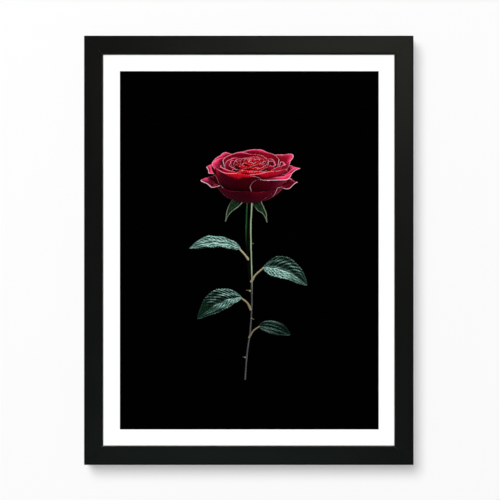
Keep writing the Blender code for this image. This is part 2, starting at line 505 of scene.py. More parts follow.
@dataclass(frozen=True)
class BareWood:
    """Sawn pale wood where the stain stops."""

    pale: Triple = srgb(196, 158, 112)
    dark: Triple = srgb(158, 116, 74)
    roughness: float = 0.75
    rings: Triple = (6, 420, 420)  # features to a metre, along and across the rail
    pores: Triple = (60, 2200, 2200)
    pore_depth: float = 0.1 * MM

    def material(self) -> bpy.types.Material:
        """Makes the material, which reads the rail's own attribute "stock".

        Returns:
            The material.
        """
        nodes = Nodes("bare_wood")
        rings = nodes.noise(nodes.attribute("stock", self.rings), 1.0, 5.0, 0.65)
        pores = nodes.noise(nodes.attribute("stock", self.pores), 1.0, 2.0)
        colour = nodes.mixed(nodes.ramp(rings, 0.35, 0.68, 0.0, 1.0), self.pale, self.dark)
        colour = nodes.mixed(nodes.ramp(pores, 0.55, 0.75, 0.0, 0.45), colour, self.dark)
        nodes.set(Base_Color=colour, Roughness=self.roughness)
        nodes.bump(pores, self.pore_depth, 0.4)
        return nodes.material


@dataclass(frozen=True)
class ClearGlass:
    """Clear glass that lets the print through and takes reflections by Fresnel."""

    ior: float = 1.5
    tint: Triple = (0.985, 0.995, 0.99)
    roughness: float = 0.02

    def material(self) -> bpy.types.Material:
        """Makes the material.

        Returns:
            The material.
        """
        nodes = Nodes("clear_glass")
        nodes.tree.nodes.remove(nodes.shader)
        through = nodes.add("ShaderNodeBsdfTransparent")
        through.inputs["Color"].default_value = (*self.tint, 1)
        gloss = nodes.add("ShaderNodeBsdfGlossy")
        gloss.inputs["Roughness"].default_value = self.roughness
        fresnel = nodes.add("ShaderNodeFresnel")
        fresnel.inputs["IOR"].default_value = self.ior
        outside = nodes.sums("SUBTRACT", 1.0, nodes.add("ShaderNodeNewGeometry").outputs["Backfacing"])
        share = nodes.sums("MULTIPLY", fresnel.outputs[0], outside)
        both = nodes.layered(share, through.outputs[0], gloss.outputs[0])
        nodes.put(both, nodes.output.inputs["Surface"])
        return nodes.material


@dataclass(frozen=True)
class PosterPaper:
    """Smooth white poster paper with a faint tooth."""

    colour: Triple = (0.93, 0.93, 0.93)
    roughness: float = 0.6
    tooth: float = 3000  # features to a metre
    tooth_depth: float = 0.01 * MM

    def material(self) -> bpy.types.Material:
        """Makes the material.

        Returns:
            The material.
        """
        nodes = Nodes("poster_paper")
        tooth = nodes.noise(nodes.place(), self.tooth, 2.0)
        shade = tuple(channel * 0.985 for channel in self.colour)
        nodes.set(Base_Color=nodes.mixed(tooth, shade, self.colour), Roughness=self.roughness)
        nodes.bump(tooth, self.tooth_depth, 0.3)
        return nodes.material


@dataclass(frozen=True)
class PrintedInk:
    """The inked part of the paper; its colours come from the attribute "ink"."""

    roughness: float = 0.55
    specks: float = 2600  # features to a metre

    def material(self) -> bpy.types.Material:
        """Makes the material.

        Returns:
            The material.
        """
        nodes = Nodes("printed_ink")
        ink = nodes.add("ShaderNodeAttribute", attribute_name="ink")
        speck = nodes.noise(nodes.place(), self.specks, 2.0)
        grain = nodes.ramp(speck, 0.3, 0.7, 0.94, 1.06)
        colour = nodes.add("ShaderNodeVectorMath", operation="SCALE")
        nodes.put(ink.outputs["Color"], colour.inputs[0])
        nodes.put(grain, colour.inputs["Scale"])
        nodes.set(Base_Color=colour.outputs[0], Roughness=self.roughness)
        nodes.shader.inputs["Specular IOR Level"].default_value = 0.0
        return nodes.material


@dataclass(frozen=True)
class Hardboard:
    """Raw brown fibreboard: matted fibres with darker flecks."""

    light: Triple = srgb(168, 130, 92)
    dark: Triple = srgb(118, 82, 52)
    roughness: float = 0.85
    cloud: float = 45  # features to a metre
    level_fibres: Triple = (420, 420, 1700)
    upright_fibres: Triple = (1700, 420, 420)
    fibre_depth: float = 0.12 * MM

    def material(self) -> bpy.types.Material:
        """Makes the material.

        Returns:
            The material.
        """
        nodes = Nodes("hardboard")
        cloud = nodes.noise(nodes.place(), self.cloud, 4.0)
        scales = (self.level_fibres, self.upright_fibres)
        first, second = (nodes.noise(nodes.place(scale), 1.0, 3.0, 0.7) for scale in scales)
        fibres = nodes.sums("MULTIPLY", nodes.sums("ADD", first, second), 0.5)
        colour = nodes.mixed(nodes.ramp(cloud, 0.3, 0.7, 0.15, 0.6), self.light, self.dark)
        colour = nodes.mixed(nodes.ramp(fibres, 0.42, 0.62, 0.0, 0.55), colour, self.dark)
        nodes.set(Base_Color=colour, Roughness=self.roughness)
        nodes.bump(fibres, self.fibre_depth, 0.5)
        return nodes.material


@dataclass(frozen=True)
class Steel:
    """Steel with a rolled or plated surface."""

    name: str
    colour: Triple
    roughness: float
    streaks: Triple = (300, 2500, 2500)  # features to a metre on each axis
    cloud: float = 420
    streak_depth: float = 0.02 * MM

    def material(self) -> bpy.types.Material:
        """Makes the material.

        Returns:
            The material.
        """
        nodes = Nodes(self.name)
        streak = nodes.noise(nodes.place(self.streaks), 1.0, 3.0)
        cloud = nodes.noise(nodes.place(), self.cloud, 3.0)
        shade = tuple(channel * 0.72 for channel in self.colour)
        colour = nodes.mixed(nodes.ramp(cloud, 0.35, 0.65, 0.0, 1.0), shade, self.colour)
        rough = nodes.ramp(streak, 0.3, 0.7, self.roughness - 0.08, self.roughness + 0.12)
        nodes.set(Base_Color=colour, Roughness=rough, Metallic=1.0)
        nodes.bump(streak, self.streak_depth, 0.4)
        return nodes.material


@dataclass(frozen=True)
class PadRubber:
    """Soft dark rubber with a fine matt skin."""

    colour: Triple = srgb(52, 52, 50)
    roughness: float = 0.78
    skin: float = 2400  # features to a metre
    skin_depth: float = 0.04 * MM

    def material(self) -> bpy.types.Material:
        """Makes the material.

        Returns:
            The material.
        """
        nodes = Nodes("pad_rubber")
        skin = nodes.noise(nodes.place(), self.skin, 3.0)
        shade = tuple(channel * 0.6 for channel in self.colour)
        nodes.set(Base_Color=nodes.mixed(skin, shade, self.colour), Roughness=self.roughness)
        nodes.bump(skin, self.skin_depth, 0.5)
        return nodes.material


ZINC = Steel("zinc_plate", srgb(214, 214, 208), 0.32)
SPRING_STEEL = Steel("spring_steel", srgb(132, 134, 138), 0.4)


# ---------------------------------------------------------------------------------------------
# The flower in the print
# ---------------------------------------------------------------------------------------------


class Tissue(Enum):
    """What a surface of the flower is made of."""

    PETAL = 0
    LEAF = 1
    SEPAL = 2
    STALK = 3
    THORN = 4


@dataclass
class Patch:
    """A grid of surface points of the flower, in millimetres on the picture's axes."""

    points: np.ndarray
    tissue: Tissue
    edge: np.ndarray
    tone: np.ndarray
    closed: bool = False

    def normals(self) -> np.ndarray:
        """Works out a smooth normal at each point of the grid.

        Returns:
            Unit vectors in the grid's shape.
        """
        along = np.gradient(self.points, axis=0)
        if self.closed:
            ring = self.points[:, :-1]
            around = (np.roll(ring, -1, axis=1) - np.roll(ring, 1, axis=1)) / 2
            around = np.concatenate([around, around[:, :1]], axis=1)
        else:
            around = np.gradient(self.points, axis=1)
        return unit(np.cross(along, around))

    def triangles(self) -> np.ndarray:
        """Lists the grid's triangles.

        Returns:
            Three indices into the grid's points for each triangle.
        """
        rows, columns = self.points.shape[:2]
        index = np.arange(rows * columns).reshape(rows, columns)
        a, b = index[:-1, :-1].ravel(), index[:-1, 1:].ravel()
        c, d = index[1:, 1:].ravel(), index[1:, :-1].ravel()
        return np.concatenate([np.stack([a, b, c], 1), np.stack([a, c, d], 1)])


def bezier(controls: np.ndarray, steps: np.ndarray) -> np.ndarray:
    """Reads a Bezier curve of any order.

    Args:
        controls: The control points, one to a row.
        steps: The places along the curve, 0 to 1, in any shape.

    Returns:
        The points, with one more axis than steps.
    """
    order = len(controls) - 1
    total = np.zeros((*steps.shape, controls.shape[1]))
    for i, control in enumerate(controls):
        weight = math.comb(order, i) * steps**i * (1 - steps) ** (order - i)
        total += weight[..., None] * control
    return total


def through(points: list, count: int) -> np.ndarray:
    """Runs a smooth curve through points, with even steps.

    Args:
        points: The points to pass through.
        count: How many points to return.

    Returns:
        The curve's points, one to a row.
    """
    knots = np.array(points, float)
    knots = np.vstack([2 * knots[0] - knots[1], knots, 2 * knots[-1] - knots[-2]])
    spans = len(points) - 1
    places = np.linspace(0, spans, count)
    cell = np.minimum(places.astype(int), spans - 1)
    t = (places - cell)[:, None]
    a, b, c, d = (knots[cell + i] for i in range(4))
    return 0.5 * (2 * b + (c - a) * t + (2 * a - 5 * b + 4 * c - d) * t**2 + (3 * b - a - 3 * c + d) * t**3)


@dataclass(frozen=True)
class Petal:
    """One petal of the head, set round the flower's own upright axis. Lengths in millimetres."""

    azimuth: float  # degrees, 0 to the right and 90 away from the viewer
    radius: float  # of the rim, from the flower's axis
    top: float  # height of the rim over the head's rim plane
    half_width: float  # degrees
    flare: float = 3.0  # how far the rim rolls outwards
    roll: float = 1.0  # how far the rolled rim drops
    point: float = 1.5  # how far the rim's middle stands out as a point
    ruffle: float = 0.8
    skew: float = 0.08  # one side lies further out than the other
    curl_left: float = 0.0  # how far the corner at its clockwise side folds out
    curl_right: float = 0.0  # how far the other corner folds out
    shoulder: float = 0.16  # how much shorter its sides are
    belly: float = 1.05
    depth: float = 37.0
    phase: float = 0.0
    glow: float = 1.0  # how bright its tissue is
    hem: float = 1.0  # how wide its pale rim is

    def patch(self, lean: float, rows: int = 56, columns: int = 64) -> Patch:
        """Builds the petal's surface.

        Args:
            lean: How far the head leans towards the viewer, in radians.
            rows: Grid rows from base to rim.
            columns: Grid columns from side to side.

        Returns:
            The petal's patch on the picture's axes.
        """
        up, side = np.meshgrid(np.linspace(0, 1, rows) ** 0.8, np.linspace(-1, 1, columns), indexing="ij")
        reach = up * (1 - self.shoulder * np.abs(side) ** 2.6)
        out, height = self._section(reach, side)
        half_turn = math.radians(self.half_width)
        spread = np.sin(np.pi / 2 * np.clip(reach * 1.35, 0, 1)) ** 0.55
        turn = math.radians(self.azimuth) + half_turn * side * spread
        x, y = out * np.cos(turn), out * np.sin(turn)
        away = y * math.cos(lean) - height * math.sin(lean)
        lift = height * math.cos(lean) + y * math.sin(lean)
        rim = (1 - up) * (self.depth + self.radius * 0.6 + self.flare)
        flank = (1 - np.abs(side)) * half_turn * self.radius
        edge = np.minimum(rim, flank) / self.hem
        streak = 0.06 * np.sin(side * 37 + self.phase) + 0.05 * np.sin(side * 71 + 3 * self.phase + 3 * up)
        tone = self.glow * (1 + streak) * (0.45 + 0.55 * reach**2)
        return Patch(np.stack([x, away, lift], -1), Tissue.PETAL, edge, tone)

    def _section(self, reach: np.ndarray, side: np.ndarray) -> tuple[np.ndarray, np.ndarray]:
        """Works out the petal's section, with the waves of its rim and its folded corners.

        Args:
            reach: Shares of the way from the base to the rim.
            side: Shares of the way from the middle to a side, -1 to 1.

        Returns:
            How far each point lies from the flower's axis, and how high over the rim plane.
        """
        controls = np.array(
            [
                (1.5, -self.depth),
                (self.radius * 0.78 + 1, -self.depth - 1),
                (self.radius * self.belly + 1, -self.depth * 0.5),
                (self.radius * 0.97, self.top + 0.6 * self.roll),
                (self.radius + self.flare, self.top - self.roll),
            ]
        )
        profile = bezier(controls, reach)
        out, height = profile[..., 0], profile[..., 1]
        free = reach**5
        wave = np.sin(side * 4.2 + self.phase) + 0.5 * np.sin(side * 9.1 + 2.3 * self.phase)
        middle = np.exp(-((side / 0.22) ** 2))
        out = out * (1 + self.skew * side * reach**1.5)
        out = out + free * (self.point * middle + 0.6 * self.ruffle * wave)
        height = height + free * (0.35 * self.point * middle + self.ruffle * np.roll(wave, 7, axis=1))
        height = height - 0.48 * self.flare * free * side**2
        corner = self.curl_left * smooth(0.3, 1, -side) + self.curl_right * smooth(0.3, 1, side)
        return out + reach**9 * corner, height - reach**12 * corner * 0.8


@dataclass(frozen=True)
class RoseHead:
    """The bloom: a spiral of petals with a few wide ones round it."""

    centre: Triple = (1.0, 0.0, 85.8)
    lean: float = math.radians(15)
    spiral_petals: int = 22
    golden_angle: float = 137.5
    start: float = 35.0
    heart: float = 25.0  # radius of the spiral's last petals
    outer: tuple[Petal, ...] = (
        Petal(100, 30, 3.5, 46, flare=4, roll=0.5, point=2, phase=0.7),
        Petal(215, 29, 2.5, 44, flare=4, roll=1.5, point=2, phase=1.9),
        Petal(-20, 30, 3.0, 46, flare=4, roll=1.0, point=3, phase=3.1),
        Petal(-75, 30, 2.5, 44, flare=3, roll=1.5, point=2, phase=4.4),
        Petal(150, 32, 2.5, 40, flare=6, roll=2.0, point=2, phase=5.2),
        Petal(75, 36, 4.0, 38, flare=6, roll=0.5, point=3, phase=0.4),
        Petal(125, 36, 2.5, 34, flare=6, roll=1.5, point=3, phase=2.0),
        Petal(28, 37, 3.5, 34, flare=7, roll=1.0, point=4, ruffle=1.0, phase=1.0),
        Petal(172, 35, 1.5, 34, flare=7, roll=6.0, point=2, curl_right=3, phase=3.0),
        Petal(-6, 37, 0.5, 30, flare=9, roll=5.0, point=4, ruffle=1.2, phase=2.6),
        Petal(-62, 35, 2.5, 56, flare=4, roll=1.5, point=2, curl_left=2, shoulder=0.3, phase=1.7),
        Petal(-129, 35.5, 2.0, 60, flare=4, roll=1.5, point=1, curl_right=2, shoulder=0.3, phase=0.2),
        Petal(-48, 37.5, 0.5, 44, flare=9, roll=7.0, point=3, curl_left=5, shoulder=0.42, phase=5.0),
        Petal(-12, 36, -13.0, 28, flare=9, roll=5.0, point=3, ruffle=1.6, phase=2.2, glow=0.9),
        Petal(194, 36, -9.0, 30, flare=11, roll=6.0, point=4, ruffle=1.4, phase=2.9, glow=0.7),
        Petal(-106, 40, -17.0, 52, flare=0.8, roll=0.3, point=1, belly=0.9, phase=1.1, hem=0.1),
    )

    def petals(self) -> list[Petal]:
        """Lists every petal, from the heart outwards.

        Returns:
            The petals.
        """
        made = []
        for i in range(self.spiral_petals):
            share = i / (self.spiral_petals - 1)
            made.append(
                Petal(
                    azimuth=self.start + i * self.golden_angle,
                    radius=2.0 + (self.heart - 2.0) * share**0.9,
                    top=6.5 * (1 - share) ** 1.3 + 1.5 * share,
                    half_width=84 - 36 * share,
                    flare=-0.6 + 2.6 * share,
                    roll=0.2 + 0.8 * share,
                    point=0.6 + 2.0 * share,
                    ruffle=0.25 + 0.4 * share,
                    skew=0.18 - 0.08 * share,
                    phase=1.7 * i,
                )
            )
        return made + list(self.outer)

    def patches(self) -> list[Patch]:
        """Builds the petals at the head's place.

        Returns:
            The petals' patches.
        """
        made = [petal.patch(self.lean) for petal in self.petals()]
        for patch in made:
            patch.points += np.array(self.centre)
        return made


@dataclass(frozen=True)
class Leaf:
    """A leaflet or a sepal along a midrib. Lengths in millimetres on the picture's axes."""

    midrib: tuple
    width: float
    facing: Triple  # roughly the way its upper side looks
    tissue: Tissue = Tissue.LEAF
    fold: float = 20.0  # degrees that each half rises from the midrib
    teeth: int = 22
    veins: int = 8
    vein_rise: float = 0.7
    crumple: float = 0.9
    widest: float = 0.42
    taper: float = 0.85  # over 1 draws the tip out thin
    glow: float = 1.0
    wave: float = 1.2
    phase: float = 0.0

    def patch(self, rows: int = 150, columns: int = 91) -> Patch:
        """Builds the blade's surface.

        Args:
            rows: Grid rows from root to tip.
            columns: Grid columns from side to side.

        Returns:
            The leaf's patch.
        """
        spine = through(list(self.midrib), rows)
        along = unit(np.gradient(spine, axis=0))
        across = unit(np.cross(along, np.array(self.facing)))
        upper = np.cross(across, along)
        t, b = np.meshgrid(np.linspace(0, 1, rows), np.linspace(-1, 1, columns), indexing="ij")
        skewed = t ** (math.log(0.5) / math.log(self.widest))
        half = np.sin(np.pi * np.clip(skewed, 0, 1)) ** self.taper * self.width / 2 + 0.35
        saw = (t * self.teeth) % 1.0
        half = half * (1 - (0.07 * saw * np.abs(b) ** 6 if self.teeth else 0))
        vein = (t * 1.12 - 0.34 * np.abs(b) ** 1.2) * self.veins
        veined = 1 - np.abs(2 * (vein % 1.0) - 1)
        lift = self._relief(t, b, veined)
        angle = math.radians(self.fold)
        sideways = half * b * math.cos(angle)
        raised = half * np.abs(b) * math.sin(angle) + lift * (half / (self.width / 2))
        points = (
            spine[:, None, :]
            + across[:, None, :] * sideways[..., None]
            + upper[:, None, :] * raised[..., None]
        )
        edge = (1 - np.abs(b)) * half + 0.02
        return Patch(points, self.tissue, edge, self._tone(t, b, veined))

    def _relief(self, t: np.ndarray, b: np.ndarray, veined: np.ndarray) -> np.ndarray:
        """Works out how the blade rises to its veins, waves and crumples.

        Args:
            t: Shares of the way from root to tip.
            b: Shares of the way from the midrib to a side, -1 to 1.
            veined: 1 on a vein, and 0 midway between two.

        Returns:
            The blade's rise at each point, in millimetres.
        """
        lift = self.vein_rise * veined**0.6 * np.abs(b) ** 0.4 * np.sin(np.pi * np.abs(b)) ** 0.3
        lift = lift + self.wave * np.sin(t * 7 + self.phase + 2 * np.sign(b)) * np.abs(b) ** 2
        creases = np.sin(11 * t + 5 * b + self.phase) * np.sin(7 * b - 13 * t + 2 * self.phase)
        return lift + self.crumple * creases

    def _tone(self, t: np.ndarray, b: np.ndarray, veined: np.ndarray) -> np.ndarray:
        """Works out how bright the tissue is, with paler veins and a soft mottle.

        Args:
            t: Shares of the way from root to tip.
            b: Shares of the way from the midrib to a side, -1 to 1.
            veined: 1 on a vein, and 0 midway between two.

        Returns:
            The tone at each point.
        """
        ridge = np.exp(-(((1 - veined) / 0.12) ** 2)) * (np.abs(b) > 0.04)
        ridge = np.maximum(ridge, 1.6 * np.exp(-((b / 0.045) ** 2)))
        speckle = 0.24 * np.sin(31 * t + 3 * self.phase) * np.sin(17 * b + 9 * t)
        speckle = speckle + 0.1 * np.sin(67 * t * (1 + 0.3 * b))
        return self.glow * (1 + speckle + 0.6 * ridge)


@dataclass(frozen=True)
class Stalk:
    """A round stalk along a curve. Lengths in millimetres on the picture's axes."""

    route: tuple
    start_radius: float
    end_radius: float
    tissue: Tissue = Tissue.STALK
    glow: float = 1.0

    def patch(self, rows: int = 220, columns: int = 25) -> Patch:
        """Builds the stalk's skin.

        Args:
            rows: Grid rows along the stalk.
            columns: Grid columns round it.

        Returns:
            The stalk's patch.
        """
        spine = through(list(self.route), rows)
        along = unit(np.gradient(spine, axis=0))
        side = unit(np.cross(along, np.array([0.0, 1.0, 0.0])))
        back = np.cross(side, along)
        turn = np.linspace(0, 2 * np.pi, columns)
        share = np.linspace(0, 1, rows)
        radius = self.start_radius + (self.end_radius - self.start_radius) * smooth(0.18, 0.55, share)
        radius = radius * (1 + 0.03 * np.sin(share * 40) + 0.02 * np.sin(share * 97))
        ring = side[:, None] * np.cos(turn)[None, :, None] + back[:, None] * np.sin(turn)[None, :, None]
        points = spine[:, None] + ring * radius[:, None, None]
        tone = self.glow * (1 + 0.1 * np.sin(share * 60))[:, None] * np.ones(columns)
        return Patch(points, self.tissue, np.full(points.shape[:2], 9.0), tone, closed=True)


SEPAL_BLADE = {
    "tissue": Tissue.SEPAL,
    "fold": 24,
    "teeth": 0,
    "veins": 3,
    "widest": 0.24,
    "taper": 1.6,
    "wave": 0.3,
    "glow": 1.2,
}


@dataclass(frozen=True)
class Rose:
    """The whole printed flower: bloom, sepals, stalk, thorns and leaves."""

    head: RoseHead = RoseHead()
    stem: Stalk = Stalk(
        (
            (0.5, 2, 52),
            (-0.8, 0, 18),
            (0.6, 0, -16),
            (2.2, 0, -48),
            (0.8, 0, -78),
            (-2.6, 0, -104),
            (-4.6, 0, -130),
        ),
        3.0,
        0.95,
    )
    sepals: tuple[Leaf, ...] = (
        Leaf(
            ((-7, -8, 53), (-15, -10, 46), (-21, -10, 38), (-24, -9, 29)),
            10,
            (0.2, -1, 0.4),
            **SEPAL_BLADE,
        ),
        Leaf(
            ((5, -6, 52), (9, -9, 44), (15, -10, 37), (18, -9, 28)),
            10,
            (0.3, -0.9, 0.2),
            **SEPAL_BLADE,
        ),
    )
    leaves: tuple[Leaf, ...] = (
        Leaf(
            ((-9, -1, 2), (-24, -4, 6.5), (-42, -7, 7), (-60, -9, 2)),
            30,
            (0, -0.44, 0.9),
            fold=6,
            phase=0.5,
            veins=12,
            vein_rise=0.6,
            glow=1.15,
        ),
        Leaf(
            ((14, -3, -17), (28, -6, -19), (44, -9, -25), (58, -10, -35)),
            32,
            (-0.1, -0.62, 0.78),
            fold=14,
            phase=1.2,
            veins=9,
            vein_rise=0.6,
            crumple=0.5,
        ),
        Leaf(
            ((-8, -2, -47), (-22, -5, -50), (-38, -9, -58), (-52, -10, -69)),
            31,
            (0.05, -0.6, 0.8),
            fold=16,
            phase=2.0,
            veins=11,
            crumple=0.6,
        ),
        Leaf(
            ((10, 0, -76), (20, -2, -77), (31, -3, -80), (41, -3, -85)),
            17,
            (0, -0.8, 0.6),
            fold=6,
            phase=4.1,
            vein_rise=0.2,
            crumple=0.3,
            glow=0.5,
        ),
    )
    petioles: tuple[Stalk, ...] = (
        Stalk(((-0.2, -1, -10), (-4, -3, -5), (-10, -3, 1.5)), 1.1, 0.7, Tissue.THORN),
        Stalk(((1.8, -2, -32), (6, -4, -25), (14.5, -4, -17.5)), 1.1, 0.7, Tissue.THORN, 0.7),
        Stalk(((1.6, -1, -60), (-2, -3, -53), (-9, -3, -47.5)), 1.0, 0.7, Tissue.THORN, 0.6),
        Stalk(((-0.4, -1, -88), (4, -2, -81), (10.5, -1, -76.5)), 0.9, 0.6, Tissue.THORN, 0.4),
    )
    thorns: tuple[Stalk, ...] = (
        Stalk(((-0.6, 0, 8), (4.4, -1, 6.6)), 1.2, 0.1, Tissue.THORN, 0.7),
        Stalk(((2.0, 0, -41), (-2.8, -1, -40)), 1.1, 0.1, Tissue.THORN, 0.7),
        Stalk(((1.2, 0, -68), (4.6, 0, -69.4)), 0.9, 0.1, Tissue.THORN, 0.6),
        Stalk(((-3.0, 0, -108), (-6.4, 0, -107)), 0.8, 0.1, Tissue.THORN, 0.6),
    )

    def patches(self) -> list[Patch]:
        """Builds every surface of the flower.

        Returns:
            The patches.
        """
        made = self.head.patches()
        for part in (*self.sepals, self.stem, *self.leaves, *self.petioles, *self.thorns):
            made.append(part.patch())
        return made


@dataclass(frozen=True)
class StudioLight:
    """A light on the flower, by the way from the flower to it on the picture's axes."""

    towards: Triple
    spread: float  # how far its rays stray, as a share of their length


@dataclass(frozen=True)
class FlowerColours:
    """Linear colours of the flower's tissues under each kind of light."""

    petal: Triple = (0.80, 0.012, 0.065)
    petal_through: Triple = (0.85, 0.006, 0.02)
    petal_velvet: Triple = (0.80, 0.14, 0.36)
    petal_shine: Triple = (0.9, 0.22, 0.42)
    petal_rim: Triple = (1.0, 0.44, 0.54)
    leaf: Triple = (0.03, 0.15, 0.105)
    leaf_shine: Triple = (0.50, 0.74, 0.68)
    leaf_gloss: Triple = (0.26, 0.62, 0.50)
    leaf_through: Triple = (0.10, 0.30, 0.06)
    leaf_rim: Triple = (0.5, 0.6, 0.52)
    sepal: Triple = (0.09, 0.21, 0.10)
    sepal_shine: Triple = (0.6, 0.7, 0.6)
    sepal_rim: Triple = (0.6, 0.68, 0.5)
    stalk_left: Triple = (0.010, 0.045, 0.014)
    stalk_right: Triple = (0.26, 0.32, 0.20)
    stalk_foot: Triple = (0.065, 0.06, 0.065)
    stalk_dim: Triple = (0.2, 0.3, 0.2)
    thorn: Triple = (0.80, 0.66, 0.40)


@dataclass(frozen=True)
class Seen:
    """What is seen at each point of the flower, one value or row to a point."""

    kind: np.ndarray  # the tissue's number
    normal: np.ndarray  # towards the viewer
    where: np.ndarray
    edge: np.ndarray  # millimetres from a free edge
    tone: np.ndarray  # how bright the tissue is
    lit: np.ndarray  # key light on the near side
    glow: np.ndarray  # key light through the tissue
    rim: np.ndarray  # rim light on the near side
    through_rim: np.ndarray  # rim light through the tissue
    sky: np.ndarray  # openness to the dim sky
    shine: np.ndarray  # how squarely the key light is mirrored

    @property
    def light(self) -> np.ndarray:
        """Both lights on the near side."""
        return self.lit + 0.35 * self.rim


@dataclass
class Sitting:
    """Lights the flower against black and works out the colour at each point of the picture."""

    patches: list[Patch]
    key: StudioLight = StudioLight((0.12, 0.42, 0.9), 0.16)
    rim: StudioLight = StudioLight((0.86, 0.42, 0.28), 0.12)
    side: Triple = (0.7, -0.6, 0.4)  # the way to a faint light that needs no shadow
    ink: FlowerColours = FlowerColours()
    sky_rays: int = 5
    reach: float = 45.0  # how far a ray looks for something in its way, in millimetres
    lift: float = 0.12  # how far off the surface a ray starts
    viewer: float = -200.0  # where the rays that look at the flower start
    seed: int = 11

    def __post_init__(self) -> None:
        """Gathers the patches into one set of triangles."""
        points, normals, triangles, edges, tones, kinds = [], [], [], [], [], []
        offset = 0
        for patch in self.patches:
            count = patch.points[..., 0].size
            points.append(patch.points.reshape(-1, 3))
            normals.append(patch.normals().reshape(-1, 3))
            triangles.append(patch.triangles() + offset)
            edges.append(patch.edge.ravel())
            tones.append(patch.tone.ravel())
            kinds.append(np.full(count, patch.tissue.value))
            offset += count
        self.points, self.normals = np.concatenate(points), np.concatenate(normals)
        self.corners = np.concatenate(triangles)
        self.edge, self.tone = np.concatenate(edges), np.concatenate(tones)
        self.kind = np.concatenate(kinds)
        self.tree = BVHTree.FromPolygons(self.points.tolist(), self.corners.tolist(), all_triangles=True)

    def weights(self, where: np.ndarray, corners: np.ndarray) -> np.ndarray:
        """Finds how much each corner of a triangle counts at a point in it.

        Args:
            where: The points.
            corners: The three corner indices for each point.

        Returns:
            Three weights for each point.
        """
        a, b, c = (self.points[corners[:, i]] for i in range(3))
        v0, v1, v2 = b - a, c - a, where - a
        d00, d01, d11 = (v0 * v0).sum(1), (v0 * v1).sum(1), (v1 * v1).sum(1)
        d20, d21 = (v2 * v0).sum(1), (v2 * v1).sum(1)
        scale = np.maximum(d00 * d11 - d01 * d01, 1e-12)
        second = np.clip((d11 * d20 - d01 * d21) / scale, 0, 1)
        third = np.clip((d00 * d21 - d01 * d20) / scale, 0, 1)
        return np.stack([np.clip(1 - second - third, 0, 1), second, third], 1)

    def open_ways(self, origins: np.ndarray, ways: np.ndarray) -> np.ndarray:
        """Tests which rays leave the flower without meeting it.

        Args:
            origins: Where the rays start.
            ways: Their directions.

        Returns:
            1 for each free ray and 0 for each blocked one.
        """
        cast, reach = self.tree.ray_cast, self.reach
        pairs = zip(origins.tolist(), ways.tolist())
        return np.fromiter((cast(o, w, reach)[2] is None for o, w in pairs), float, len(origins))

    def light_on(
        self, light: StudioLight, where: np.ndarray, normal: np.ndarray, dice: np.random.Generator
    ) -> tuple[np.ndarray, np.ndarray]:
        """Works out how much of a light reaches each point, from the front and through the tissue.

        Args:
            light: The light.
            where: The points.
            normal: Their normals, towards the viewer.
            dice: The random numbers to use.

        Returns:
            The light on the near side and the light on the far side, each 0 to 1.
        """
        way = unit(np.array(light.towards) + dice.normal(0, light.spread, where.shape))
        facing = (way * normal).sum(1)
        side = np.sign(facing)[:, None]
        free = self.open_ways(where + normal * side * self.lift + way * 0.05, way)
        return np.clip(facing, 0, 1) * free, np.clip(-facing, 0, 1) * free

    def sky_on(self, where: np.ndarray, normal: np.ndarray, dice: np.random.Generator) -> np.ndarray:
        """Works out how open each point is to a dim light from above.

        Args:
            where: The points.
            normal: Their normals, towards the viewer.
            dice: The random numbers to use.

        Returns:
            A share for each point, 0 to 1.
        """
        total = np.zeros(len(where))
        for _ in range(self.sky_rays):
            way = unit(normal + unit(dice.normal(0, 1, where.shape)) * 0.98)
            open_way = self.open_ways(where + normal * self.lift, way)
            total += open_way * (0.25 + 0.75 * np.clip(way[:, 2] * 0.8 + 0.3, 0, 1))
        return total / self.sky_rays

    def colours(self, right: np.ndarray, up: np.ndarray) -> np.ndarray:
        """Works out the picture's colour at points of the picture.

        Args:
            right: The points' places across, in millimetres from the centre.
            up: Their places up.

        Returns:
            Linear red, green and blue and the cover, one row to a point.
        """
        result = np.zeros((len(right), 4))
        rows, corner_rows, places = [], [], []
        cast = self.tree.ray_cast
        for row, (x, z) in enumerate(zip(right.tolist(), up.tolist())):
            place, _, triangle, _ = cast((x, self.viewer, z), (0.0, 1.0, 0.0))
            if triangle is not None:
                rows.append(row)
                corner_rows.append(triangle)
                places.append(place[:])
        if not rows:
            return result
        where = np.array(places)
        corners = self.corners[np.array(corner_rows)]
        share = self.weights(where, corners)
        normal = unit((self.normals[corners] * share[..., None]).sum(1))
        normal = normal * -np.sign(normal[:, 1:2])
        edge = (self.edge[corners] * share).sum(1)
        tone = (self.tone[corners] * share).sum(1)
        kind = self.kind[corners[:, 0]]
        dice = np.random.default_rng(self.seed)
        lit, glow = self.light_on(self.key, where, normal, dice)
        rim, through_rim = self.light_on(self.rim, where, normal, dice)
        sky = self.sky_on(where, normal, dice)
        middle = unit(unit(np.array(self.key.towards)) + np.array([0.0, -1.0, 0.0]))
        shine = np.clip((normal * middle).sum(1), 0, 1)
        seen = Seen(kind, normal, where, edge, tone, lit, glow, rim, through_rim, sky, shine)
        tissues = (self._petal, self._leaf, self._sepal, self._stalk, self._thorn)
        looks = np.stack([tissue(seen) for tissue in tissues])
        result[np.array(rows), :3] = np.clip(looks[kind, np.arange(len(kind))], 0, 1)
        result[np.array(rows), 3] = 1
        return result

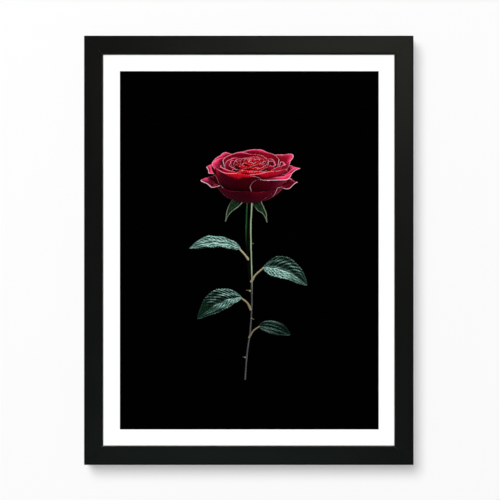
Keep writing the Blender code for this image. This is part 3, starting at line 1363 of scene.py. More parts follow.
    def _petal(self, seen: Seen) -> np.ndarray:
        """Colours petals: velvet red, glowing where light comes through, with a pale rim.

        Args:
            seen: What is seen at each point.

        Returns:
            Linear red, green and blue, one row to a point.
        """
        light, tone, sky = seen.light, seen.tone, seen.sky
        grazing = np.clip(1 + seen.normal[:, 1], 0, 1)
        side_light = np.clip(seen.normal @ unit(np.array(self.side)), 0, 1)
        found = times(tone * (1.0 * light + 0.15 * sky + 0.07 * side_light), self.ink.petal)
        found += times(tone * (0.6 * seen.glow + 0.25 * seen.through_rim), self.ink.petal_through)
        found += times((grazing**2) * (0.5 * light + 0.1 * sky), self.ink.petal_velvet)
        found += times(seen.shine**8 * 0.25 * seen.lit, self.ink.petal_shine)
        rim = smooth(0.9, 0.4, seen.edge) * np.clip(0.1 + 1.6 * (sky + light + seen.glow), 0, 1)
        pale = times(rim * np.clip(0.5 + 0.9 * light + sky, 0, 1), self.ink.petal_rim)
        return found * (1 - rim[:, None]) + pale

    def _leaf(self, seen: Seen) -> np.ndarray:
        """Colours leaves: dark green with a pale gloss on the ribs and a paler rim.

        Args:
            seen: What is seen at each point.

        Returns:
            Linear red, green and blue, one row to a point.
        """
        light, tone, sky = seen.light, seen.tone, seen.sky
        found = times(tone * (0.34 * light + 0.06 * sky), self.ink.leaf)
        found += times(tone**2 * (seen.shine**12) * (0.55 * seen.lit + 0.03 * sky), self.ink.leaf_shine)
        found += times(tone * (seen.shine**4) * 0.12 * seen.lit, self.ink.leaf_gloss)
        found += times(0.12 * seen.glow * tone, self.ink.leaf_through)
        rim = smooth(0.6, 0.1, seen.edge)
        return found + times(rim * (0.05 * sky + 0.3 * light), self.ink.leaf_rim)

    def _sepal(self, seen: Seen) -> np.ndarray:
        """Colours sepals: green with a pale rim on the lit side.

        Args:
            seen: What is seen at each point.

        Returns:
            Linear red, green and blue, one row to a point.
        """
        light, tone = seen.light, seen.tone
        found = times(tone * (0.5 * light + 0.3 * seen.sky), self.ink.sepal)
        found += times(tone * (seen.shine**4) * 0.1 * seen.lit, self.ink.sepal_shine)
        rim = smooth(1.0, 0.4, seen.edge) * smooth(-0.6, 0.3, seen.normal[:, 0])
        return found + times(rim * (0.25 + 0.6 * light), self.ink.sepal_rim)

    def _stalk(self, seen: Seen) -> np.ndarray:
        """Colours the stalk: a pale line down its right side, and bark-grey near the foot.

        Args:
            seen: What is seen at each point.

        Returns:
            Linear red, green and blue, one row to a point.
        """
        tone, right, up = seen.tone, seen.normal[:, 0], seen.where[:, 2]
        low, high = smooth(-25, -45, up), smooth(2, 26, up)
        right_edge = smooth(0.42, 0.72, right) * (1 - 0.5 * smooth(0.8, 1.0, right))
        left_edge = smooth(0.35, 0.8, -right)
        found = times(tone * left_edge * high, self.ink.stalk_left)
        found += times(tone * right_edge * (1 - low), self.ink.stalk_right)
        found += times(tone * low * smooth(-0.9, 0.6, right), self.ink.stalk_foot)
        return found + times(tone * 0.02 * seen.sky, self.ink.stalk_dim)

    def _thorn(self, seen: Seen) -> np.ndarray:
        """Colours thorns and the leaves' own stalks."""
        return times(seen.tone * (0.4 * seen.sky + 1.1 * seen.light + 0.2), self.ink.thorn)


# ---------------------------------------------------------------------------------------------
# The print
# ---------------------------------------------------------------------------------------------


@dataclass
class RosePrint:
    """The sheet of poster paper with the flower printed on it."""

    border: float = 20 * MM
    offset: float = 0.5 * MM  # the printed picture sits a little to the right on the sheet
    pitch: float = 0.4  # millimetres between the picture's points
    block: int = 8  # plain areas are made of blocks of this many points
    samples: int = 2  # rays a side for each point
    black: Triple = (0.0003, 0.0003, 0.0003)
    full: float = 0.93  # the brightest ink, as bright as the paper
    lively: float = 1.07  # how many times the black a point is where the mesh turns fine
    soften: int = 2  # points that the print's sharpening looks at on each side
    sharpen: float = 0.9

    def build(self) -> list[bpy.types.Object]:
        """Builds the sheet and prints the flower on it.

        Returns:
            The sheet, alone in a list.
        """
        low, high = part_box("print_sheet")
        half_width = (high.x - low.x) / 2 - self.border
        half_height = (high.z - low.z) / 2 - self.border
        columns = self._stops(half_width)
        rows = self._stops(half_height)
        mesh = self._mesh(columns, rows, self._ink(columns, rows))
        sheet = riding("rose_print", mesh)
        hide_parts("print_sheet")
        return [sheet]

    def _stops(self, half: float) -> np.ndarray:
        """Spaces the picture's points evenly over one of its sides, in millimetres."""
        count = round(2 * half / MM / self.pitch / self.block) * self.block
        return np.linspace(-half / MM, half / MM, count + 1)

    def _ink(self, columns: np.ndarray, rows: np.ndarray) -> np.ndarray:
        """Works out the ink's colour at each of the picture's points.

        Args:
            columns: The points' places across, in millimetres.
            rows: Their places up.

        Returns:
            Linear colours, rows by columns by three.
        """
        sitting = Sitting(Rose().patches())
        low, high = sitting.points.min(0) - 1, sitting.points.max(0) + 1
        across = np.flatnonzero((columns > low[0]) & (columns < high[0]))
        up = np.flatnonzero((rows > low[2]) & (rows < high[2]))
        steps = (np.arange(self.samples) + 0.5) / self.samples - 0.5
        pitch_x, pitch_z = columns[1] - columns[0], rows[1] - rows[0]
        x = (columns[across][:, None] + steps * pitch_x).ravel()
        z = (rows[up][:, None] + steps * pitch_z).ravel()
        grid_x, grid_z = np.meshgrid(x, z)
        found = sitting.colours(grid_x.ravel(), grid_z.ravel())
        found = found.reshape(len(up), self.samples, len(across), self.samples, 4).mean((1, 3))
        cover = found[..., 3:]
        ink = np.zeros((len(rows), len(columns), 3)) + np.array(self.black)
        ink[np.ix_(up, across)] = found[..., :3] + (1 - cover) * np.array(self.black)
        soft = ink
        for axis in (0, 1):
            soft = sum(np.roll(soft, step, axis) for step in range(-self.soften, self.soften + 1))
            soft = soft / (2 * self.soften + 1)
        sharp = ink + self.sharpen * (ink - soft)
        return np.clip(sharp, self.black[0], self.full)

    def _mesh(self, columns: np.ndarray, rows: np.ndarray, ink: np.ndarray) -> bpy.types.Mesh:
        """Builds the sheet's mesh, fine where the flower is and coarse elsewhere.

        Args:
            columns: The picture's points across, in millimetres.
            rows: Its points up.
            ink: The ink's colours.

        Returns:
            The mesh, with the attribute "ink" and slots for ink and paper.
        """
        low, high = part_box("print_sheet")
        centre = (low + high) / 2
        shape = bmesh.new()
        layer = shape.verts.layers.float_color.new("ink")
        used = {}

        def point(row: int, column: int) -> bmesh.types.BMVert:
            """Finds the vertex of one of the picture's points, or makes it.

            Args:
                row: The point's row.
                column: Its column.

            Returns:
                The vertex.
            """
            if (row, column) not in used:
                x = centre.x + self.offset + columns[column] * MM
                vert = shape.verts.new((x, low.y, centre.z + rows[row] * MM))
                vert[layer] = (*ink[row, column], 1)
                used[row, column] = vert
            return used[row, column]

        busy = self._busy(ink)
        for i, j in np.ndindex(busy.shape[0] - 2, busy.shape[1] - 2):
            for ring in self._rings(busy, i, j):
                shape.faces.new([point(*place) for place in ring])
        last_row, last_column = len(rows) - 1, len(columns) - 1
        sides = (
            [(0, column) for column in range(last_column + 1)],
            [(row, last_column) for row in range(last_row + 1)],
            [(last_row, column) for column in range(last_column, -1, -1)],
            [(row, 0) for row in range(last_row, -1, -1)],
        )
        self._add_border(shape, [[used[place] for place in side if place in used] for side in sides])
        mesh = mesh_from("rose_print", shape)
        mesh.materials.append(PrintedInk().material())
        mesh.materials.append(PosterPaper().material())
        return mesh

    def _busy(self, ink: np.ndarray) -> np.ndarray:
        """Finds which blocks of the picture hold more than plain black.

        Args:
            ink: The ink's colours.

        Returns:
            True or False for each block, with a margin of False one block wide.
        """
        lively = ink.sum(2) > self.lively * sum(self.black)
        size = self.block
        blocks_up, blocks_across = ((count - 1) // size for count in lively.shape)
        busy = np.zeros((blocks_up + 2, blocks_across + 2), bool)
        for i, j in np.ndindex(blocks_up, blocks_across):
            rows, columns = (slice(k * size, (k + 1) * size + 1) for k in (i, j))
            busy[i + 1, j + 1] = lively[rows, columns].any()
        return busy

    def _rings(self, busy: np.ndarray, i: int, j: int) -> list:
        """Lists the outlines of a block's faces: a fine grid, or one face round a plain block.

        Args:
            busy: Which blocks are fine, with a margin of one.
            i: The block's row.
            j: Its column.

        Returns:
            Lists of (row, column), one to a face. A plain block's face has every point of a side
            that it shares with a fine block.
        """
        size = self.block
        low, left = i * size, j * size
        if busy[i + 1, j + 1]:
            cells = ((low + cell // size, left + cell % size) for cell in range(size * size))
            return [((r, c), (r, c + 1), (r + 1, c + 1), (r + 1, c)) for r, c in cells]
        sides = (
            (busy[i, j + 1], low, left, 0, 1),
            (busy[i + 1, j + 2], low, left + size, 1, 0),
            (busy[i + 2, j + 1], low + size, left + size, 0, -1),
            (busy[i + 1, j], low + size, left, -1, 0),
        )
        ring = []
        for shared, row, column, up, right in sides:
            ring += [(row + k * up, column + k * right) for k in range(size if shared else 1)]
        return [ring]

    def _add_border(self, shape: bmesh.types.BMesh, sides: list) -> None:
        """Adds the white border, the cut edges and the back of the sheet.

        Args:
            shape: The bmesh that holds the inked faces.
            sides: The vertices along the picture's bottom, right, top and left edges, going round.
        """
        low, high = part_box("print_sheet")
        outer, back = ([shape.verts.new(place) for place in ring] for ring in upright_rings(low, high))
        paper = [shape.faces.new(reversed(back))]
        for i, side in enumerate(sides):
            j = (i + 1) % len(sides)
            paper.append(shape.faces.new((outer[i], outer[j], *reversed(side))))
            paper.append(shape.faces.new((outer[j], outer[i], back[i], back[j])))
        for face in paper:
            face.material_index = 1


# ---------------------------------------------------------------------------------------------
# The frame's pieces
# ---------------------------------------------------------------------------------------------


class Side(Enum):
    """A side of the frame, by the way its outer edge faces: the turn about Y from the top."""

    TOP = 0
    RIGHT = 1
    BOTTOM = 2
    LEFT = 3

    @property
    def node(self) -> str:
        """The name of the side's rail in the model."""
        return f"rail_{self.name.lower()}"


@dataclass
class Rails:
    """The four mitred rails of the moulding, with rounded arrises and slots for the steel."""

    face: float = 19 * MM
    lip: float = 4 * MM
    overlap: float = 5 * MM
    front_round: float = 1.7 * MM
    back_round: float = 0.6 * MM
    lip_round: float = 0.2 * MM
    sliver: float = 0.003 * MM  # edges shorter than this are closed up
    point_reach: float = 7 * MM  # how deep in the wood the points' slots may have faces
    near: float = 0.05 * MM
    stain_edge: float = 0.4 * MM  # how far the stain comes round onto the back
    joint: float = 0.06 * MM  # half of the hairline gap at a mitre
    slot_play: float = 0.12 * MM
    pilot: float = 1.25 * MM  # radius of the hanger screws' holes
    grain_shift: tuple[float, float] = (1.7, 0.31)  # along and across, from one rail to the next
    crease: float = math.radians(32)  # edges sharper than this stay sharp

    def build(self) -> list[bpy.types.Object]:
        """Builds the four rails.

        Returns:
            The rails, in the order of the sides.
        """
        stained, bare = StainedWood().material(), BareWood().material()
        return [self._rail(side, stained, bare) for side in Side]

    def _rail(self, side: Side, stained: bpy.types.Material, bare: bpy.types.Material) -> bpy.types.Object:
        """Builds one rail.

        Args:
            side: Which rail.
            stained: The material of its face and edges.
            bare: The material of its back and rebate.

        Returns:
            The rail.
        """
        low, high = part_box("rail_top")
        box_low, box_high = CAD_BOX
        picture = (box_low + box_high) / 2
        across = side in (Side.TOP, Side.BOTTOM)
        half = (box_high.x - box_low.x) / 2 if across else (box_high.z - box_low.z) / 2
        rise = (box_high.z - box_low.z) / 2 if across else (box_high.x - box_low.x) / 2
        outline = self._outline(low.y, high.y)
        shape = bmesh.new()
        ends = [
            [(sign * (half - inward - self.joint * math.sqrt(2)), y, rise - inward) for inward, y in outline]
            for sign in (-1, 1)
        ]
        add_prism(shape, *ends)
        turn = Matrix.Rotation(side.value * math.pi / 2, 4, "Y")
        move = Matrix.Translation((picture.x, 0, picture.z))
        bmesh.ops.transform(shape, matrix=move @ turn, verts=shape.verts)
        rail = riding(f"{side.node}_moulding", mesh_from(side.node, shape))
        for node in frame["nodes"]:
            if node.startswith(("v_nail_", "point_", "hanger_screw_")):
                self._cut_slot(rail, node, side)
        rail.data.materials.append(stained)
        rail.data.materials.append(bare)
        shape = bmesh.new()
        shape.from_mesh(rail.data)
        bmesh.ops.dissolve_degenerate(shape, dist=self.sliver, edges=shape.edges)
        shape.to_mesh(rail.data)
        shape.free()
        self._dress(rail, (move @ turn).inverted(), rise, side.value)
        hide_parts(side.node)
        return rail

    def _outline(self, front: float, back: float) -> list:
        """Draws the rail's section, with rounded arrises.

        Args:
            front: The y of the rail's face.
            back: The y of its back.

        Returns:
            Points of (inward distance, y).
        """
        inner, rebate, step = self.face, self.face - self.overlap, front + self.lip
        corners = [(0, front), (inner, front), (inner, step), (rebate, step), (rebate, back), (0, back)]
        radii = [self.front_round, self.front_round, self.lip_round, 0, self.back_round, self.back_round]
        return rounded_outline(corners, radii)

    def _cut_slot(self, rail: bpy.types.Object, node: str, side: Side) -> None:
        """Cuts the slot of a steel piece where it meets the rail.

        Args:
            rail: The rail.
            node: The steel piece's node.
            side: The rail's side.
        """
        low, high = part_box(node)
        rail_low, rail_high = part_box(side.node)
        if any(low[i] > rail_high[i] or high[i] < rail_low[i] for i in (0, 2)):
            return
        if node.startswith("hanger_screw_"):
            centre = (low + high) / 2
            ends = (low.y - self.slot_play, rail_high.y + self.slot_play)
            profile = [(0, ends[0]), (self.pilot, ends[0]), (self.pilot, ends[1]), (0, ends[1])]
            shape = turned(profile, centre, 24)
        else:
            shape = welded(node)
            for vert in shape.verts:
                vert.co += vert.normal * vert.calc_shell_factor() * self.slot_play
                if node.startswith("v_nail_") and vert.co.y > (low.y + high.y) / 2:
                    vert.co.y = rail_high.y + self.slot_play
        cut_away(rail, shape)

    def _dress(self, rail: bpy.types.Object, to_stock: Matrix, rise: float, number: int) -> None:
        """Gives each face its finish and each point its place in the length of wood.

        Args:
            rail: The rail.
            to_stock: Turns a place in the frame into one on the rail's own axes.
            rise: The rail's outer edge, from the picture's centre.
            number: The side's number, so that each rail has a grain of its own.
        """
        front, back = (corner.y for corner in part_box("rail_top"))
        mesh = rail.data
        stock = mesh.attributes.new("stock", "FLOAT_VECTOR", "POINT")
        shift_along, shift_across = self.grain_shift
        for vert, cell in zip(mesh.vertices, stock.data):
            along, y, height = to_stock @ vert.co
            cell.vector = (along + shift_along * number, y, rise - height + shift_across * number)
        rebate = self.face - self.overlap
        for face in mesh.polygons:
            _, y, height = to_stock @ face.center
            inward = rise - height
            inside = inward > rebate - self.point_reach and y > front + self.lip - self.near
            hidden = inside or y > back - self.near
            face.material_index = 1 if hidden and inward > self.stain_edge else 0
            face.use_smooth = True
        mesh.set_sharp_from_angle(angle=self.crease)
        flat = rail.modifiers.new("flat_faces", "WEIGHTED_NORMAL")
        flat.keep_sharp = True
        settle(rail)


def welded(node: str) -> bmesh.types.BMesh:
    """Copies a model node's shape with its corners joined and its flat faces whole.

    Args:
        node: The node's name.

    Returns:
        The closed shape.
    """
    shape = bmesh.new()
    shape.from_mesh(frame["nodes"][node].data)
    bmesh.ops.remove_doubles(shape, verts=shape.verts, dist=WELD)
    bmesh.ops.dissolve_limit(shape, angle_limit=math.radians(1), verts=shape.verts, edges=shape.edges)
    bmesh.ops.recalc_face_normals(shape, faces=shape.faces)
    shape.normal_update()
    return shape


def sheet_piece(
    name: str, node: str, easing: float, finish: bpy.types.Material
) -> bpy.types.Object:
    """Builds a flat sheet with softly eased edges in a node's place.

    Args:
        name: The piece's name.
        node: The node that it stands for.
        easing: The rounding of its edges, in metres.
        finish: Its material.

    Returns:
        The sheet.
    """
    shape = bmesh.new()
    add_prism(shape, *upright_rings(*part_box(node)))
    sheet = riding(name, mesh_from(name, shape))
    sheet.data.materials.append(finish)
    ease_edges(sheet, easing)
    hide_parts(node)
    return sheet


@dataclass
class Glazing:
    """The clear pane over the print."""

    easing: float = 0.15 * MM

    def build(self) -> list[bpy.types.Object]:
        """Builds the pane, alone in a list."""
        return [sheet_piece("glass_pane", "glass", self.easing, ClearGlass().material())]


@dataclass
class Backing:
    """The fibreboard behind the print."""

    easing: float = 0.12 * MM

    def build(self) -> list[bpy.types.Object]:
        """Builds the board, alone in a list."""
        finish = Hardboard().material()
        return [sheet_piece("backing_board_piece", "backing_board", self.easing, finish)]


def eased_copy(node: str, width: float, finish: bpy.types.Material) -> bpy.types.Object:
    """Copies a node's shape into a piece with eased edges.

    Args:
        node: The node.
        width: The rounding of its edges, in metres.
        finish: Its material.

    Returns:
        The new piece.
    """
    mesh = mesh_from(node, welded(node))
    mesh.materials.clear()
    mesh.materials.append(finish)
    piece = riding(f"{node}_piece", mesh)
    ease_edges(piece, width)
    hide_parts(node)
    return piece


@dataclass
class Steelwork:
    """The points that hold the board, the V nails of the mitres, and the hanger's plate."""

    point_easing: float = 0.08 * MM
    nail_easing: float = 0.06 * MM
    plate_easing: float = 0.15 * MM

    def build(self) -> list[bpy.types.Object]:
        """Builds every thin steel piece.

        Returns:
            The pieces.
        """
        steel, zinc = SPRING_STEEL.material(), ZINC.material()
        made = []
        for node in sorted(frame["nodes"]):
            if node.startswith("point_"):
                made.append(eased_copy(node, self.point_easing, steel))
            elif node.startswith("v_nail_"):
                made.append(eased_copy(node, self.nail_easing, steel))
        made.append(eased_copy("hanger_plate", self.plate_easing, zinc))
        return made


def turned(profile: list, centre: Vector, steps: int = 48) -> bmesh.types.BMesh:
    """Turns a profile about an axis along Y.

    Args:
        profile: Points of (radius, y), from the axis to the axis.
        centre: A point on the axis.
        steps: How many steps go round.

    Returns:
        The closed body.
    """
    shape = bmesh.new()
    spokes = [(math.cos(math.tau * step / steps), math.sin(math.tau * step / steps)) for step in range(steps)]
    rings = []
    for radius, y in profile:
        round_axis = spokes if radius else spokes[:1]
        places = [(centre.x + radius * right, y, centre.z + radius * up) for right, up in round_axis]
        rings.append([shape.verts.new(place) for place in places])
    for near, far in zip(rings, rings[1:]):
        for i in range(steps):
            j = (i + 1) % steps
            corners = (near[i % len(near)], near[j % len(near)], far[j % len(far)], far[i % len(far)])
            shape.faces.new(list(dict.fromkeys(corners)))
    bmesh.ops.recalc_face_normals(shape, faces=shape.faces)
    return shape


@dataclass
class HangerScrews:
    """The hanger's two pan-head screws, with a tapered cross recess."""

    dome_steps: int = 8
    rim: float = 0.45 * MM
    head: float = 1.4 * MM
    shank: float = 1.1 * MM
    cross_reach: float = 1.35 * MM
    cross_half_width: float = 0.34 * MM
    cross_depth: float = 0.85 * MM
    cross_mouth: float = 0.1 * MM  # how far the cutting shape stands out of the head
    cross_shares: tuple[float, float] = (1.05, 0.55)  # the cross's size at its mouth and its floor
    cross_turn: float = math.radians(20)
    tip: float = 2.5 * MM
    threads: int = 6
    thread_pitch: float = 0.9 * MM
    thread_root: float = 0.78  # as a share of the shank's radius
    under_head: float = 0.96  # the seat's radius as a share of the head's
    under_round: float = 0.1 * MM
    crease: float = math.radians(38)

    def build(self) -> list[bpy.types.Object]:
        """Builds both screws."""
        finish = ZINC.material()
        return [self._screw(f"hanger_screw_{hand}", finish) for hand in ("left", "right")]

    def _screw(self, node: str, finish: bpy.types.Material) -> bpy.types.Object:
        """Builds one screw in its node's place.

        Args:
            node: The screw's node.
            finish: Its material.

        Returns:
            The screw.
        """
        low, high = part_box(node)
        centre = (low + high) / 2
        radius = (high.x - low.x) / 2
        seat = high.y - self.head
        turns = [i / self.dome_steps * math.pi / 2 for i in range(self.dome_steps + 1)]
        dome = [(radius * math.cos(a), seat + self.rim + (self.head - self.rim) * math.sin(a)) for a in turns]
        dome[-1] = (0, high.y)
        threads = []
        for i in range(self.threads):
            y = low.y + self.tip + i * self.thread_pitch
            threads += [(self.shank * self.thread_root, y), (self.shank, y + self.thread_pitch / 2)]
        under = [(self.shank, seat), (radius * self.under_head, seat), (radius, seat + self.under_round)]
        profile = [(0, low.y), *threads, *under, *dome]
        screw = riding(f"{node}_piece", mesh_from(node, turned(profile, centre)))
        self._cut_cross(screw, centre, high.y)
        screw.data.materials.append(finish)
        screw.data.shade_smooth()
        screw.data.set_sharp_from_angle(angle=self.crease)
        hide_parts(node)
        return screw

    def _cut_cross(self, screw: bpy.types.Object, centre: Vector, top: float) -> None:
        """Cuts the cross recess, which narrows as it goes down.

        Args:
            screw: The screw.
            centre: The screw's centre.
            top: The y of the top of its head.
        """
        shape = bmesh.new()
        ends = []
        for y, share in zip((top + self.cross_mouth, top - self.cross_depth), self.cross_shares):
            long, short = self.cross_reach * share, self.cross_half_width * share
            ring = []
            for quarter in range(4):
                turn = Matrix.Rotation(quarter * math.pi / 2 + self.cross_turn, 2)
                for corner in ((-long, -short), (-short, -short), (-short, -long)):
                    across, up = turn @ Vector(corner)
                    ring.append((centre.x + across, y, centre.z + up))
            ends.append(ring)
        add_prism(shape, *ends)
        cut_away(screw, shape)


@dataclass
class WallPads:
    """The four round rubber pads: a domed rim and a shallow dish in the middle."""

    rounding: float = 0.8 * MM
    dish_radius: float = 2.6 * MM
    dish_depth: float = 0.3 * MM
    foot: float = 0.15 * MM
    crease: float = math.radians(50)

    def build(self) -> list[bpy.types.Object]:
        """Builds the pads."""
        finish = PadRubber().material()
        return [self._pad(node, finish) for node in sorted(frame["nodes"]) if node.startswith("wall_pad_")]

    def _pad(self, node: str, finish: bpy.types.Material) -> bpy.types.Object:
        """Builds one pad in its node's place.

        Args:
            node: The pad's node.
            finish: Its material.

        Returns:
            The pad.
        """
        low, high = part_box(node)
        centre, radius = (low + high) / 2, (high.x - low.x) / 2
        turns = [math.radians(angle) for angle in range(0, 91, 15)]
        edge = [
            (radius - self.rounding * (1 - math.cos(a)), high.y - self.rounding * (1 - math.sin(a)))
            for a in turns
        ]
        floor = high.y - self.dish_depth
        dish = [(self.dish_radius, high.y), (self.dish_radius - self.dish_depth, floor), (0, floor)]
        foot = [(0, low.y), (radius - self.foot, low.y), (radius, low.y + self.foot)]
        profile = [*foot, *edge, *dish]
        pad = riding(f"{node}_piece", mesh_from(node, turned(profile, centre)))
        pad.data.materials.append(finish)
        pad.data.shade_smooth()
        pad.data.set_sharp_from_angle(angle=self.crease)
        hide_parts(node)
        return pad


# ---------------------------------------------------------------------------------------------
# The studio
# ---------------------------------------------------------------------------------------------


@dataclass(frozen=True)
class Lamp:
    """A studio light that looks at the picture's centre."""

    name: str
    way: Triple  # from the picture to the light
    energy: float  # watts, or a sun's strength
    distance: float = 3.0
    size: float = 1.0  # metres, or a sun's angle in radians
    long_size: float = 0.0  # an oval's longer side, in metres
    turn: float = 0.0  # an oval's turn, in degrees
    colour: Triple = (1.0, 1.0, 1.0)
    glossy: bool = False
    diffuse: bool = True
    only: tuple[str, ...] = ()  # lights only the pieces whose names start so
    but: tuple[str, ...] = ()  # lights everything else

    def build(self, centre: Vector) -> bpy.types.Object:
        """Adds the light.

        Args:
            centre: The picture's centre.

        Returns:
            The light.
        """
        oval = self.long_size > 0
        data = bpy.data.lights.new(self.name, "AREA" if oval else "SUN")
        data.energy, data.color = self.energy, self.colour
        if oval:
            data.shape, data.size, data.size_y = "ELLIPSE", self.size, self.long_size
        else:
            data.angle = self.size
        lamp = linked(self.name, data)
        towards = Vector(self.way).normalized()
        spin = Quaternion((0, 0, 1), math.radians(self.turn))
        lamp.location = centre + towards * self.distance
        lamp.rotation_euler = (towards.to_track_quat("Z", "Y") @ spin).to_euler()
        lamp.visible_glossy, lamp.visible_diffuse = self.glossy, self.diffuse
        return lamp

    def link(self, lamp: bpy.types.Object) -> None:
        """Limits the light to the pieces that it is for.

        Args:
            lamp: The light.
        """
        starts = self.only or self.but
        if not starts:
            return
        group = bpy.data.collections.new(f"{self.name}_pieces")
        for piece in bpy.context.scene.objects:
            if piece.type == "MESH" and piece.name.startswith(starts):
                group.objects.link(piece)
        if self.but:
            for member in group.collection_objects:
                member.light_linking.link_state = "EXCLUDE"
        lamp.light_linking.receiver_collection = group


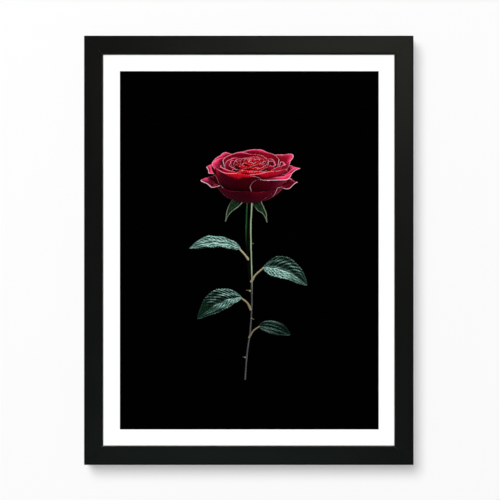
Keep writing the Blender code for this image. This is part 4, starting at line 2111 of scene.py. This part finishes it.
@dataclass
class Studio:
    """A pale wall and floor, soft light and the camera."""

    wall_size: float = 6.0
    wall_place: Triple = (0, 0.2 * MM, -0.2)
    floor_drop: float = 1.4
    flag_gap: float = 0.05 * MM
    lens: float = 120.0
    sensor: float = 36.0
    clip: tuple[float, float] = (0.05, 50.0)
    view_width: float = 500.4 * MM  # what the camera takes in at the frame's face
    camera_shift: tuple[float, float] = (1.2 * MM, 0.3 * MM)
    wall_colour: Triple = (0.88, 0.88, 0.88)
    sky_colour: Triple = (0.93, 0.93, 0.93)
    sky: float = 0.06  # how strongly the sky lights the pieces
    lamps: tuple[Lamp, ...] = (
        Lamp("key", (-0.28, -1, 0.4), 670, 9.6, 5.2, 5.6, 34, but=("rose_print",)),
        Lamp("fill", (0, -1, 0), 1.41, size=0.07, but=("rose_print",)),
        Lamp("print_light", (0, -1, 0), 3.72, size=0.07, only=("rose_print",)),
        Lamp(
            "sheen_high",
            (0.24, -1.667, 0.47),
            0.97,
            1.75,
            0.5,
            0.06,
            colour=(0.97, 1.0, 0.86),
            glossy=True,
            diffuse=False,
            only=("rail_",),
        ),
        Lamp(
            "sheen_low",
            (-0.05, -1.667, -0.5),
            0.42,
            1.75,
            0.6,
            0.2,
            colour=(0.62, 1.0, 1.0),
            glossy=True,
            diffuse=False,
            only=("rail_",),
        ),
        Lamp("side_left", (-1, 0.1, 0.25), 9.0, 2.6, 1.6, 1.6, glossy=True, only=("rail_", "wall_pad_")),
        Lamp("side_right", (1, 0.1, 0.25), 9.0, 2.6, 1.6, 1.6, glossy=True, only=("rail_", "wall_pad_")),
        Lamp("floor_light", (0.1, 0.2, 1), 2.3, size=0.2, only=("studio_floor",)),
        Lamp("back_left", (-1.4, 2.2, 1.3), 70, 2.6, 1.2, 1.6, glossy=True),
        Lamp("back_right", (1.8, 2.0, 0.5), 30, 2.8, 1.4, 1.8, glossy=True),
    )

    def build(self) -> None:
        """Builds the stage, the lights and the camera, once the pieces are there."""
        self._backdrop()
        centre = (CAD_BOX[0] + CAD_BOX[1]) / 2
        for lamp in self.lamps:
            lamp.link(lamp.build(centre))
        self._sky()
        self._camera(centre)
        view = bpy.context.scene.view_settings
        view.view_transform = "Standard"
        view.look = "None"

    def _plane(self, name: str, size: float, place: tuple, tilt: float, one_sided: bool) -> bpy.types.Object:
        """Adds a square stage plane that stays out of reflections.

        Args:
            name: The plane's name.
            size: Its side, in metres.
            place: Its centre.
            tilt: Its rotation about X, in degrees.
            one_sided: Whether it can be seen through from behind.

        Returns:
            The plane.
        """
        paint = Nodes(f"{name}_paint")
        mottle = paint.noise(paint.place(), 9, 2.0)
        shade = tuple(channel * 0.995 for channel in self.wall_colour)
        colour = paint.mixed(mottle, shade, self.wall_colour)
        path = paint.add("ShaderNodeLightPath")
        shown = paint.mixed(path.outputs["Is Glossy Ray"], colour, (0.0, 0.0, 0.0))
        paint.set(Base_Color=shown, Roughness=0.95)
        paint.shader.inputs["Specular IOR Level"].default_value = 0.0
        if one_sided:
            behind = paint.add("ShaderNodeNewGeometry").outputs["Backfacing"]
            clear = paint.add("ShaderNodeBsdfTransparent").outputs[0]
            both = paint.layered(behind, paint.shader.outputs[0], clear)
            paint.put(both, paint.output.inputs["Surface"])
        shape = bmesh.new()
        bmesh.ops.create_grid(shape, x_segments=1, y_segments=1, size=size / 2)
        plane = linked(name, mesh_from(name, shape))
        plane.location, plane.rotation_euler = place, (math.radians(tilt), 0, 0)
        plane.data.materials.append(paint.material)
        return plane

    def _backdrop(self) -> None:
        """Adds the wall, which shows from its front only, and the floor."""
        wall = self._plane("studio_wall", self.wall_size, self.wall_place, 90, True)
        wall.visible_shadow = False
        floor = self._plane("studio_floor", self.wall_size * 2, (0, 0, -self.floor_drop), 0, False)
        floor.visible_diffuse = False
        self._flag()

    def _flag(self) -> None:
        """Adds a black card behind the rails that keeps the wood's colour off the wall."""
        shape = bmesh.new()
        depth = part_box("rail_top")[1].y + self.flag_gap
        shape.faces.new([shape.verts.new((x, depth, z)) for x, _, z in upright_rings(*CAD_BOX)[0]])
        paint = Nodes("flag_black")
        cloth = paint.noise(paint.place(), 40, 2.0)
        paint.set(Base_Color=paint.mixed(cloth, (0.0, 0.0, 0.0), (0.002, 0.002, 0.002)))
        flag = linked("studio_flag", mesh_from("studio_flag", shape))
        flag.data.materials.append(paint.material)
        flag.visible_camera = flag.visible_shadow = flag.visible_glossy = flag.visible_transmission = False

    def _sky(self) -> None:
        """Adds a pale sky that lights a little and stays out of reflections."""
        world = bpy.data.worlds.new("sky")
        bpy.context.scene.world = world
        world.use_nodes = True
        tree = world.node_tree
        shown = tree.nodes["Background"]
        shown.inputs["Color"].default_value = (*self.sky_colour, 1)
        lighting, black = (tree.nodes.new("ShaderNodeBackground") for _ in range(2))
        lighting.inputs["Strength"].default_value = self.sky
        black.inputs["Strength"].default_value = 0.0
        path = tree.nodes.new("ShaderNodeLightPath")
        top = lighting.outputs[0]
        for ray, over in (("Is Glossy Ray", black), ("Is Camera Ray", shown)):
            both = tree.nodes.new("ShaderNodeMixShader")
            for source, socket in zip((path.outputs[ray], top, over.outputs[0]), both.inputs):
                tree.links.new(source, socket)
            top = both.outputs[0]
        tree.links.new(top, tree.nodes["World Output"].inputs["Surface"])

    def _camera(self, centre: Vector) -> None:
        """Adds the camera, square to the picture.

        Args:
            centre: The picture's centre.
        """
        data = bpy.data.cameras.new("camera")
        data.lens = self.lens
        data.sensor_width = self.sensor
        data.clip_start, data.clip_end = self.clip
        camera = linked("camera", data)
        distance = self.view_width * self.lens / self.sensor
        right, up = self.camera_shift
        camera.location = (centre.x + right, CAD_BOX[0].y - distance, centre.z + up)
        camera.rotation_euler = (math.radians(90), 0, 0)
        bpy.context.scene.camera = camera


def main() -> None:
    """Builds every piece in order."""
    logging.basicConfig(level=logging.INFO, format="%(name)s: %(message)s")
    for group in (Rails(), Glazing(), RosePrint(), Backing(), Steelwork(), HangerScrews(), WallPads()):
        for piece in group.build():
            LOG.info("%s: %d faces", piece.name, len(piece.data.polygons))
    Studio().build()
    LOG.info("studio: wall, floor, lights and camera")


if __name__ == "__main__":
    main()
